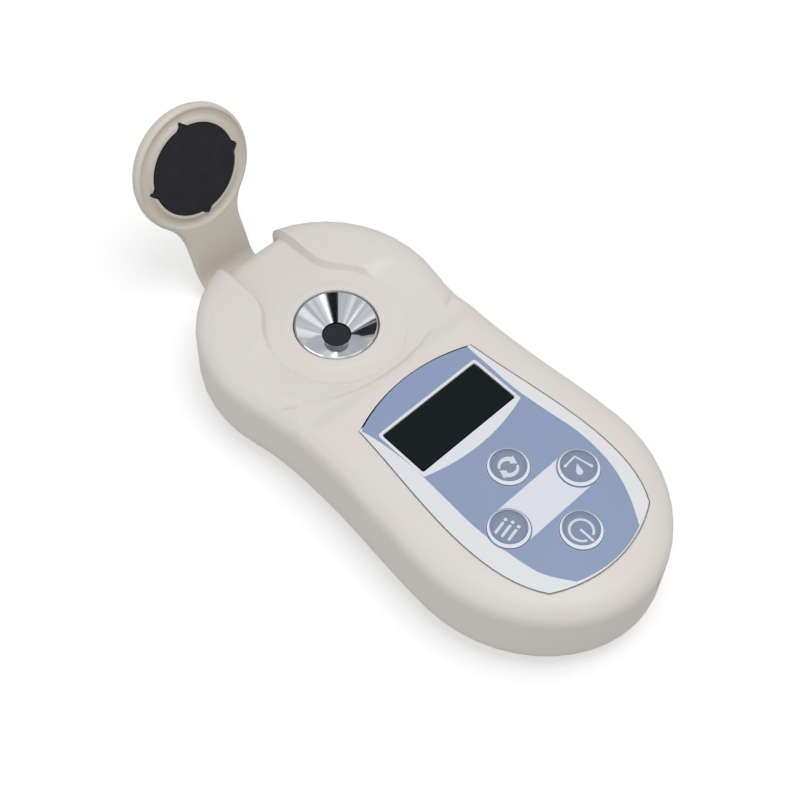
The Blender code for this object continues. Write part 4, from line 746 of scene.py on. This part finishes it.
@dataclass
class Keypad:
    """The overlay with its print, and the four keys.

    Args:
        top_z: Height of the overlay's face.
        film: Thickness of the print.
        key_hole: Radius that the print leaves free round a key.
        key_web: Inner radius of the thin membrane round a key.
        window: Half sizes of the display opening.
        window_y: Centre of the display opening.
        field_left: Edge of the blue field on the left, from head to tail, in millimetres.
        field_right: Edge of the blue field on the right, from head to tail, in millimetres.
        band_half: Half width of the band between the side keys.
        frame: Half width, head end, tail end and corner radius of the display frame.
        frame_bow: How far the frame's tail edge bows out.
        frame_gap: Gap between the print and the display opening.
        web_depth: Depth of the membrane's underside and top below the overlay's face.
        head_apex: Place of the blue field's head edge on the middle line, in millimetres.
        tail_apex: Place of its tail edge there, in millimetres.
        keys: The keys.
    """

    top_z: float = 0.0240
    film: float = 0.00003
    key_hole: float = 0.00502
    key_web: float = 0.00474
    window: tuple[float, float] = (0.0145, 0.0065)
    window_y: float = -0.0374
    field_left: tuple[tuple[float, float], ...] = (
        (-17.0, -27.0), (-16.2, -30.8), (-15.55, -36.0), (-15.25, -40.9), (-15.3, -45.5),
        (-15.6, -52.7), (-15.9, -59.6), (-15.6, -65.6), (-14.6, -74.1), (-13.2, -78.9), (-9.7, -84.3))
    field_right: tuple[tuple[float, float], ...] = (
        (16.5, -26.7), (16.35, -30.4), (16.3, -33.9), (16.1, -39.0), (16.2, -43.8), (17.0, -51.6),
        (17.9, -59.2), (17.6, -66.5), (16.2, -72.8), (13.4, -79.0), (9.8, -84.6))
    band_half: float = 0.0048
    frame: tuple[float, float, float, float] = (0.0152, -0.0302, -0.0448, 0.0008)
    frame_bow: float = 0.0025
    frame_gap: float = 0.00005
    web_depth: tuple[float, float] = (0.00016, 0.00004)
    head_apex: float = -23.3
    tail_apex: float = -86.25
    keys: list[Key] = field(default_factory=lambda: [
        Key("key_refresh", (0.0, -0.05555), Icon.REFRESH),
        Key("key_power", (0.0, -0.0769), Icon.POWER),
        Key("key_samples", (-0.0110, -0.0662), Icon.SAMPLES),
        Key("key_drop", (0.0110, -0.0662), Icon.DROP)])

    def curve_through(self, points: tuple[tuple[float, float], ...], steps: int = 60) -> Ring:
        """Pass a smooth curve through given points.

        Formula: Catmull-Rom, half of 2 b + (c - a) t + (2 a - 5 b + 4 c - d) t^2
        + (3 b - a - 3 c + d) t^3.

        Args:
            points: Points of the curve, in millimetres.
            steps: Number of points wanted.

        Returns:
            Points on the curve, in metres.
        """
        place = np.asarray(points, float)
        padded = np.concatenate((2.0 * place[:1] - place[1:2], place, 2.0 * place[-1:] - place[-2:-1]))
        share = np.linspace(0.0, len(place) - 1.0, steps)
        index = np.minimum(share.astype(int), len(place) - 2)
        part = (share - index)[:, None]
        first, second, third, fourth = (padded[index + step] for step in range(4))
        curve = 0.5 * (2.0 * second + (third - first) * part
                       + (2.0 * first - 5.0 * second + 4.0 * third - fourth) * part ** 2
                       + (3.0 * second - first - 3.0 * third + fourth) * part ** 3)
        return curve * MM

    def bow(self, start: np.ndarray, end: np.ndarray, apex: float, steps: int = 30) -> Ring:
        """Return the points between two ends on a shallow parabola that reaches a height."""
        share = np.linspace(0.0, 1.0, steps)[1:-1]
        x = start[0] + (end[0] - start[0]) * share
        chord = start[1] + (end[1] - start[1]) * share
        middle = (start[1] + end[1]) / 2.0
        return np.stack((x, chord + (apex * MM - middle) * 4.0 * share * (1.0 - share)), axis=1)

    def field_outline(self) -> Ring:
        """Return the closed outline of the blue field."""
        left = self.curve_through(self.field_left)
        right = self.curve_through(self.field_right)
        tail = self.bow(left[-1], right[-1], self.tail_apex)
        head = self.bow(right[0], left[0], self.head_apex)
        return np.concatenate((left, tail, right[::-1], head))

    def opening(self, grow: float = 0.0, corner: float = 0.0005) -> Ring:
        """Return the display opening, grown by a margin, with rounded corners.

        Formula: each corner is a quarter circle about a point set in by the corner radius.

        Args:
            grow: Margin added on every side.
            corner: Radius of the corners.

        Returns:
            The closed outline.
        """
        half_x, half_y = self.window[0] + grow - corner, self.window[1] + grow - corner
        signs = ((1.0, 1.0), (-1.0, 1.0), (-1.0, -1.0), (1.0, -1.0))
        parts = []
        for turn, (side, end) in enumerate(signs):
            centre = np.array((side * half_x, self.window_y + end * half_y))
            start = 90.0 * turn
            parts.append(arc(corner, start, start + 90.0, CORNER_STEPS) + centre)
        return np.concatenate(parts)

    def frame_outline(self) -> Ring:
        """Return the outside of the white display frame, whose lower edge bows toward the keys.

        Returns:
            The closed outline, anticlockwise.
        """
        half, head, tail, corner = self.frame
        right = arc(corner, 0.0, 90.0, CORNER_STEPS) + np.array((half - corner, head - corner))
        left = np.stack((-right[::-1, 0], right[::-1, 1]), axis=1)
        swing = np.linspace(-1.0, 1.0, 41)
        bowed = np.stack((swing * half, tail - self.frame_bow * (1.0 - swing ** 2)), axis=1)
        return np.concatenate((right, left, bowed))

    def band_outline(self) -> Ring:
        """Return the band between the side keys, whose ends follow the keys' holes."""
        centres = {key.icon: key.centre for key in self.keys}
        left, right = centres[Icon.SAMPLES], centres[Icon.DROP]
        reach = math.degrees(math.asin(self.band_half / self.key_hole))
        hollow = arc(self.key_hole, reach, -reach, 24) + np.array(left)
        facing = arc(self.key_hole, 180.0 + reach, 180.0 - reach, 24) + np.array(right)
        return np.concatenate((hollow, facing))

    def build(self) -> None:
        """Dress the overlay and the display, and lay the print on them."""
        dress("keypad_overlay", Look.OVERLAY)
        dress("display_window", Look.WINDOW)
        dress("display_module", Look.MODULE)
        low = self.top_z - self.film
        holes = [circle(key.centre, self.key_hole) for key in self.keys]
        webs = [[circle(key.centre, reach) for reach in (self.key_hole, self.key_web)]
                for key in self.keys]
        under, over = self.web_depth
        printed_or_painted_light("key_membrane", webs, self.top_z - under, self.top_z - over, Look.FIELD, "housing")
        inner = self.opening(self.frame_gap)
        printed_or_painted_light("print_blue_field", [[self.field_outline(), inner, *holes]], low,
                self.top_z + self.film * 0.6, Look.FIELD, "housing")
        printed_or_painted_light("print_display_frame", [[self.frame_outline(), inner]], low, self.top_z + self.film,
                Look.PRINT_WHITE, "housing")
        printed_or_painted_light("print_key_band", [[self.band_outline()]], low, self.top_z + self.film, Look.BAND,
                "housing")
        pen = IconPen()
        for key in self.keys:
            key.build(pen)


def smooth_step(share: np.ndarray) -> np.ndarray:
    """Return the smooth step s s (3 - 2 s) of shares held between 0 and 1."""
    held = np.clip(share, 0.0, 1.0)
    return held * held * (3.0 - 2.0 * held)


def soft_least(first: np.ndarray, second: np.ndarray, blend: float) -> np.ndarray:
    """Return the lower of two heights, rounded where they meet.

    Formula: min(a, b) - k h h / 4 with h = max(1 - |a - b| / k, 0).
    """
    near = np.maximum(1.0 - np.abs(first - second) / blend, 0.0)
    return np.minimum(first, second) - blend * near * near / 4.0


@dataclass
class HeadRelief:
    """The soft relief of the head: the dish round the lid's seat, the curved slope and the collar.

    Args:
        low_y: Where the relief starts on the body side.
        high_y: Where it ends behind the well.
        top_z: Lowest height of the top skin that is refined.
        back_y: Faces that reach behind this are left alone.
        half_x: Half width of the refined grid.
        pitch: Spacing of the refined grid.
        body_z: Height of the body's top.
        head_z: Height of the head's top.
        ramp_y: Where the ramp from body to head starts.
        ramp: Length of the ramp.
        seat_radius: Radius of the foot of the lid's seat.
        seat_z: Height of the dish at that foot.
        slope: Rise of the dish over its run.
        fade_y: Where the dish starts behind the well.
        fade: Length over which it comes in.
        slope_centre: Centre of the curved slope's line.
        slope_radius: Radius of that line.
        slope_width: Width over which the surface climbs to the body.
        flat_x: Half width within which the old groove is filled.
        collar: Radius of the collar's top, and the width of its flank.
        floor_z: Height of the seat's floor.
        collar_z: Height of the collar.
        rounding: Height over which the surfaces run into each other.
        climbs: What the slope climbs past the body's top, and then over each further width.
        fade_lift: How far the dish is lifted out of reach where it ends.
        margin: How far the skin stays off the seat's foot and the floor.
        fill: Lengths over which the filling of the groove ends at its sides and its back.
        fill_y: Where the filling ends at the back.
        skin_depth: Depth below the plain top down to which the groove is filled.
        ring_margin: How far the collar's flank is read inside and outside its own width.
    """

    low_y: float = -0.0270
    high_y: float = 0.0160
    top_z: float = 0.0212
    back_y: float = 0.030
    half_x: float = 0.0280
    pitch: float = 0.0009
    body_z: float = 0.0240
    head_z: float = 0.0229
    ramp_y: float = -0.0215
    ramp: float = 0.0050
    seat_radius: float = 0.0166
    seat_z: float = 0.02142
    slope: float = 0.194
    fade_y: float = 0.0125
    fade: float = 0.0085
    slope_centre: tuple[float, float] = (0.0020, 0.0300)
    slope_radius: float = 0.0484
    slope_width: float = 0.0017
    flat_x: float = 0.0238
    collar: tuple[float, float] = (0.0116, 0.0018)
    floor_z: float = 0.0213
    collar_z: float = 0.0216
    rounding: float = 0.0003
    climbs: tuple[float, float] = (0.0016, 0.004)
    fade_lift: float = 0.003
    margin: float = 0.0001
    fill: tuple[float, float] = (0.0030, 0.0020)
    fill_y: float = -0.0100
    skin_depth: float = 0.0014
    ring_margin: tuple[float, float] = (0.0002, 0.0006)

    def refined(self, points: np.ndarray, triangles: np.ndarray) -> tuple[np.ndarray, np.ndarray]:
        """Cut the head's top skin along a square grid, so that it can bend smoothly.

        Args:
            points: Points of the housing.
            triangles: Its triangles.

        Returns:
            The points and triangles of the cut mesh.
        """
        data = bpy.data.meshes.new("refined_housing")
        data.from_pydata(points.tolist(), [], triangles.tolist())
        work = bmesh.new()
        work.from_mesh(data)
        skin = [face for face in work.faces
                if all(vert.co.z > self.top_z and vert.co.y < self.back_y for vert in face.verts)
                and any(vert.co.y > self.low_y for vert in face.verts)]
        part = list({item for face in skin for item in (face, *face.edges, *face.verts)})
        sweeps = ((Vector((1.0, 0.0, 0.0)), -self.half_x, self.half_x),
                  (Vector((0.0, 1.0, 0.0)), self.low_y, self.high_y))
        for normal, start, end in sweeps:
            for place in np.arange(start, end, self.pitch):
                cut = bmesh.ops.bisect_plane(work, geom=part, plane_co=normal * float(place),
                                             plane_no=normal, dist=CUT_SNAP)
                part = cut["geom"]
        bmesh.ops.triangulate(work, faces=work.faces)
        bmesh.ops.remove_doubles(work, verts=work.verts, dist=WELD * 5.0)
        work.to_mesh(data)
        work.free()
        cut_points, cut_triangles = mesh_arrays(data)
        bpy.data.meshes.remove(data)
        return cut_points.astype(float), cut_triangles

    def shaped(self, points: np.ndarray) -> np.ndarray:
        """Bend the skin to the relief.

        Formula: the dish is seat_z + slope (r - seat_radius), and beyond the curved line it climbs by a
        smooth step; the top is the softly rounded lower one of the dish and the plain top.  Near the
        well the collar falls to the floor by a smooth step of r.

        Args:
            points: Points of the refined housing.

        Returns:
            The bent points.
        """
        x, y, z = points.T
        radius = np.hypot(x, y)
        plain = self.body_z - (self.body_z - self.head_z) * smooth_step((y - self.ramp_y) / self.ramp)
        soft = smooth_step((self.fade_y - y) / self.fade)
        beyond = np.hypot(x - self.slope_centre[0], y - self.slope_centre[1]) - self.slope_radius
        dish = self.seat_z + self.slope * (radius - self.seat_radius)
        past, further = self.climbs
        climb = (self.body_z - self.head_z + past) * smooth_step(beyond / self.slope_width)
        climb += further * np.maximum(beyond / self.slope_width - 1.0, 0.0)
        wanted = soft_least(plain, dish + climb + (1.0 - soft) * self.fade_lift, self.rounding)
        skin = (z > self.top_z) & (y > self.low_y) & (y < self.fade_y)
        skin &= radius > self.seat_radius + self.margin
        lowered = np.minimum(z, wanted)
        sides, back = self.fill
        filled = smooth_step((self.flat_x - np.abs(x)) / sides)
        filled *= smooth_step((self.fill_y - y) / back)
        top = z > plain - self.skin_depth
        new_z = np.where(skin, np.where(top, lowered + (wanted - lowered) * filled, lowered), z)
        edge, flank = self.collar
        inside, outside = self.ring_margin
        ring = (radius > edge - inside) & (radius < edge + flank + outside)
        ring &= (z > self.floor_z - self.margin) & (z < self.collar_z + self.margin)
        fall = self.floor_z + (self.collar_z - self.floor_z) * (1.0 - smooth_step((radius - edge) / flank))
        new_z = np.where(ring & (y < self.fade_y), fall, new_z)
        return np.column_stack((x, y, new_z))

    def build(self) -> tuple[np.ndarray, np.ndarray]:
        """Return the upper housing's points and triangles with the soft relief."""
        points, triangles = self.refined(*welded("upper_housing"))
        return self.shaped(points), triangles


@dataclass
class Housing:
    """The two moulded halves, the battery door and the screws."""

    screws: tuple[str, ...] = (
        "screw_head_left", "screw_head_right", "screw_tail_left", "screw_tail_right")

    def build(self) -> None:
        """Dress the halves, the door and the screws."""
        smooth_surface("upper_housing", "housing", Look.HOUSING, HeadRelief().build())
        smooth_surface("lower_housing", "housing", Look.BASE)
        smooth_surface("battery_door", "battery_door", Look.BASE)
        for screw in self.screws:
            smooth_surface(screw, "housing", Look.STEEL)


@dataclass
class Lid:
    """The hinged lid, its light shield pad and the hinge pin."""

    def build(self) -> None:
        """Dress the lid, the pad and the pin."""
        smooth_surface("lid", "lid", Look.LID_PAINTED_SHADE)
        smooth_surface("lid_pad", "lid", Look.PAD)
        smooth_surface("hinge_pin", "housing", Look.STEEL)


@dataclass
class SampleWell:
    """The steel well with its prism, seal and optics."""

    plain: dict[str, Look] = field(default_factory=lambda: {
        "light_source": Look.LAMP, "line_sensor": Look.CHIP, "sensor_board": Look.BOARD,
        "temperature_sensor": Look.CHIP})

    def build(self) -> None:
        """Dress the well, the prism and what lies under them."""
        smooth_surface("sample_well", "housing", Look.WELL)
        smooth_surface("prism", "housing", Look.PRISM)
        smooth_surface("well_seal", "housing", Look.SEAL)
        smooth_surface("prism_holder", "housing", Look.HOLDER)
        for node, look in self.plain.items():
            dress(node, look)


@dataclass
class Electronics:
    """The main board with its switches, and the cell with its contacts."""

    switches: tuple[str, ...] = ("switch_refresh", "switch_power", "switch_samples", "switch_drop")

    def build(self) -> None:
        """Dress the board, the switches, the cell and its contacts."""
        dress("main_board", Look.BOARD)
        for switch in self.switches:
            dress(switch, Look.CHIP)
        smooth_surface("battery", "housing", Look.CELL)
        dress("battery_plate", Look.CONTACT)
        smooth_surface("battery_spring", "housing", Look.CONTACT)


@dataclass(frozen=True)
class SoftLamp:
    """A square soft lamp that gives a surface facing it a plain level of light.

    Formula: a lamp of power P at distance d gives P / (pi d)^2 of a white surface's full level.

    Args:
        name: Name of the lamp.
        way: Way from the object to the lamp.
        distance: Distance from the object.
        size: Width of the lamp.
        level: Share of the full level.
    """

    name: str
    way: tuple[float, float, float]
    distance: float
    size: float
    level: float

    def hang(self, target: Vector) -> None:
        """Hang the lamp, aimed at a place on the object."""
        data = bpy.data.lights.new(self.name, "AREA")
        data.size = self.size
        data.energy = self.level * (math.pi * self.distance) ** 2
        lamp = bpy.data.objects.new(self.name, data)
        aim = Vector(self.way).normalized()
        turn = aim.to_track_quat("Z", "Y").to_matrix().to_4x4()
        lamp.matrix_world = Matrix.Translation(target + aim * self.distance) @ turn
        bpy.context.scene.collection.objects.link(lamp)


@dataclass
class Studio:
    """The floor, the soft lights, the surroundings and the camera.

    Args:
        ambient: Strength of the even light from all round.
        fold_scale: Scale of the soft folds that mirrors show.
        fold_range: Part of the noise that runs from dark to light.
        fold_light: Light of the folds at its ends.
        stand_edge: Half the soft edge of a dark stand, in degrees.
        floor_half: Half width of the floor.
        floor_drop: How far it lies below the object.
        floor_glow: What the camera sees it add to the light it takes.
        floor_shade: Linear grey of the floor.
        target: What the lamps point at.
        lamps: The soft lamps.
        sensor: Width of the camera's sensor, in millimetres.
        lens: Focal length, in millimetres.
        place: Place of the camera.
        right: The camera's right.
        up: The camera's up.
        back: Way from the object to the camera.
        dark_ways: Ways in which the surroundings are dark for mirrors, and half their width in degrees.
    """

    ambient: float = 0.58
    fold_scale: float = 2.6
    fold_range: tuple[float, float] = (0.36, 0.60)
    fold_light: tuple[float, float] = (0.55, 1.0)
    stand_edge: float = 1.5
    floor_half: float = 1.6
    floor_drop: float = 0.0001
    floor_glow: float = 0.46
    floor_shade: float = 0.62
    target: tuple[float, float, float] = (0.0, -0.03, 0.0)
    lamps: tuple[SoftLamp, ...] = (
        SoftLamp("key_lamp", (0.10, -0.16, 0.98), 0.75, 0.40, 0.375),
        SoftLamp("fill_lamp", (-0.85, 0.20, 0.48), 0.80, 0.60, 0.13))
    sensor: float = 36.0
    lens: float = 61.787
    place: tuple[float, float, float] = (-0.12800, -0.14747, 0.27859)
    right: tuple[float, float, float] = (0.72207, -0.69150, 0.02091)
    up: tuple[float, float, float] = (0.56455, 0.60643, 0.55993)
    back: tuple[float, float, float] = (-0.39987, -0.39251, 0.82827)
    dark_ways: tuple[tuple[float, float, float, float], ...] = (
        (-0.250, -0.420, 0.872, 10.0), (-0.165, 0.930, 0.329, 9.0))

    def floor(self) -> None:
        """Lay a wide pale floor that the camera sees as white, apart from the object's shadow."""
        signs = np.array(((-1.0, -1.0, 0.0), (1.0, -1.0, 0.0), (1.0, 1.0, 0.0), (-1.0, 1.0, 0.0)))
        corners = signs * self.floor_half - np.array((0.0, 0.0, self.floor_drop))
        data = bpy.data.meshes.new("studio_floor")
        data.from_pydata(corners.tolist(), [], [(0, 1, 2, 3)])
        made = bpy.data.materials.new("studio_floor")
        made.use_nodes = True
        bench = NodeBench(made.node_tree)
        shader = made.node_tree.nodes["Principled BSDF"]
        shader.inputs["Base Color"].default_value = (*(self.floor_shade,) * 3, 1.0)
        shader.inputs["Roughness"].default_value = 0.9
        shader.inputs["Specular IOR Level"].default_value = 0.0
        shader.inputs["Emission Color"].default_value = WHITE
        seen = bench.add("ShaderNodeLightPath").outputs["Is Camera Ray"]
        bench.join(bench.math("MULTIPLY", seen, self.floor_glow), shader, "Emission Strength")
        data.materials.append(made)
        floor = bpy.data.objects.new("studio_floor", data)
        bpy.context.scene.collection.objects.link(floor)

    def surroundings(self) -> None:
        """Light the object evenly, and show mirrors a white room with dark stands and soft folds."""
        world = bpy.data.worlds.new("studio")
        bpy.context.scene.world = world
        world.use_nodes = True
        bench = NodeBench(world.node_tree)
        backdrop = world.node_tree.nodes["Background"]
        way = bench.add("ShaderNodeTexCoord").outputs["Generated"]
        light = bench.add("ShaderNodeLightPath")
        seen = bench.ramp(bench.noise(way, self.fold_scale), self.fold_range, self.fold_light)
        for x, y, z, width in self.dark_ways:
            along = bench.add("ShaderNodeVectorMath", operation="DOT_PRODUCT")
            along.inputs[1].default_value = Vector((x, y, z)).normalized()
            bench.join(way, along, 0)
            rim = [math.cos(math.radians(width + side * self.stand_edge)) for side in (1.0, -1.0)]
            stand = bench.ramp(along.outputs["Value"], tuple(rim), (1.0, 0.0))
            seen = bench.math("MULTIPLY", seen, stand)
        glossy = light.outputs["Is Glossy Ray"]
        direct = bench.math("MAXIMUM", light.outputs["Is Camera Ray"],
                            light.outputs["Is Transmission Ray"])
        mirrored = bench.math("MULTIPLY", glossy, seen)
        plain = bench.math("SUBTRACT", 1.0, bench.math("MAXIMUM", direct, glossy))
        even = bench.math("MULTIPLY", plain, self.ambient)
        total = bench.math("ADD", bench.math("MAXIMUM", direct, mirrored), even)
        bench.join(total, backdrop, "Strength")
        backdrop.inputs["Color"].default_value = WHITE

    def camera(self) -> None:
        """Set the camera where the photograph was taken from."""
        data = bpy.data.cameras.new("photo_camera")
        data.sensor_width = self.sensor
        data.lens = self.lens
        data.clip_start = 0.01
        made = bpy.data.objects.new("photo_camera", data)
        turn = Matrix((self.right, self.up, self.back)).transposed().to_4x4()
        made.matrix_world = Matrix.Translation(Vector(self.place)) @ turn
        bpy.context.scene.collection.objects.link(made)
        bpy.context.scene.camera = made

    def build(self) -> None:
        """Set up the whole studio."""
        bpy.context.scene.view_settings.view_transform = "Standard"
        self.floor()
        self.surroundings()
        for lamp in self.lamps:
            lamp.hang(Vector(self.target))
        self.camera()


def main() -> None:
    """Build the looks of every sub-assembly and set up the studio."""
    logging.basicConfig(level=logging.INFO, format="%(name)s: %(message)s")
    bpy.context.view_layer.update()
    for build_group in (grain_group, turning_group, weave_group):
        build_group()
    for assembly in (Housing(), Lid(), SampleWell(), Electronics(), Keypad()):
        assembly.build()
        LOG.info("%s done", type(assembly).__name__)
    Studio().build()


if __name__ == "__main__":
    main()
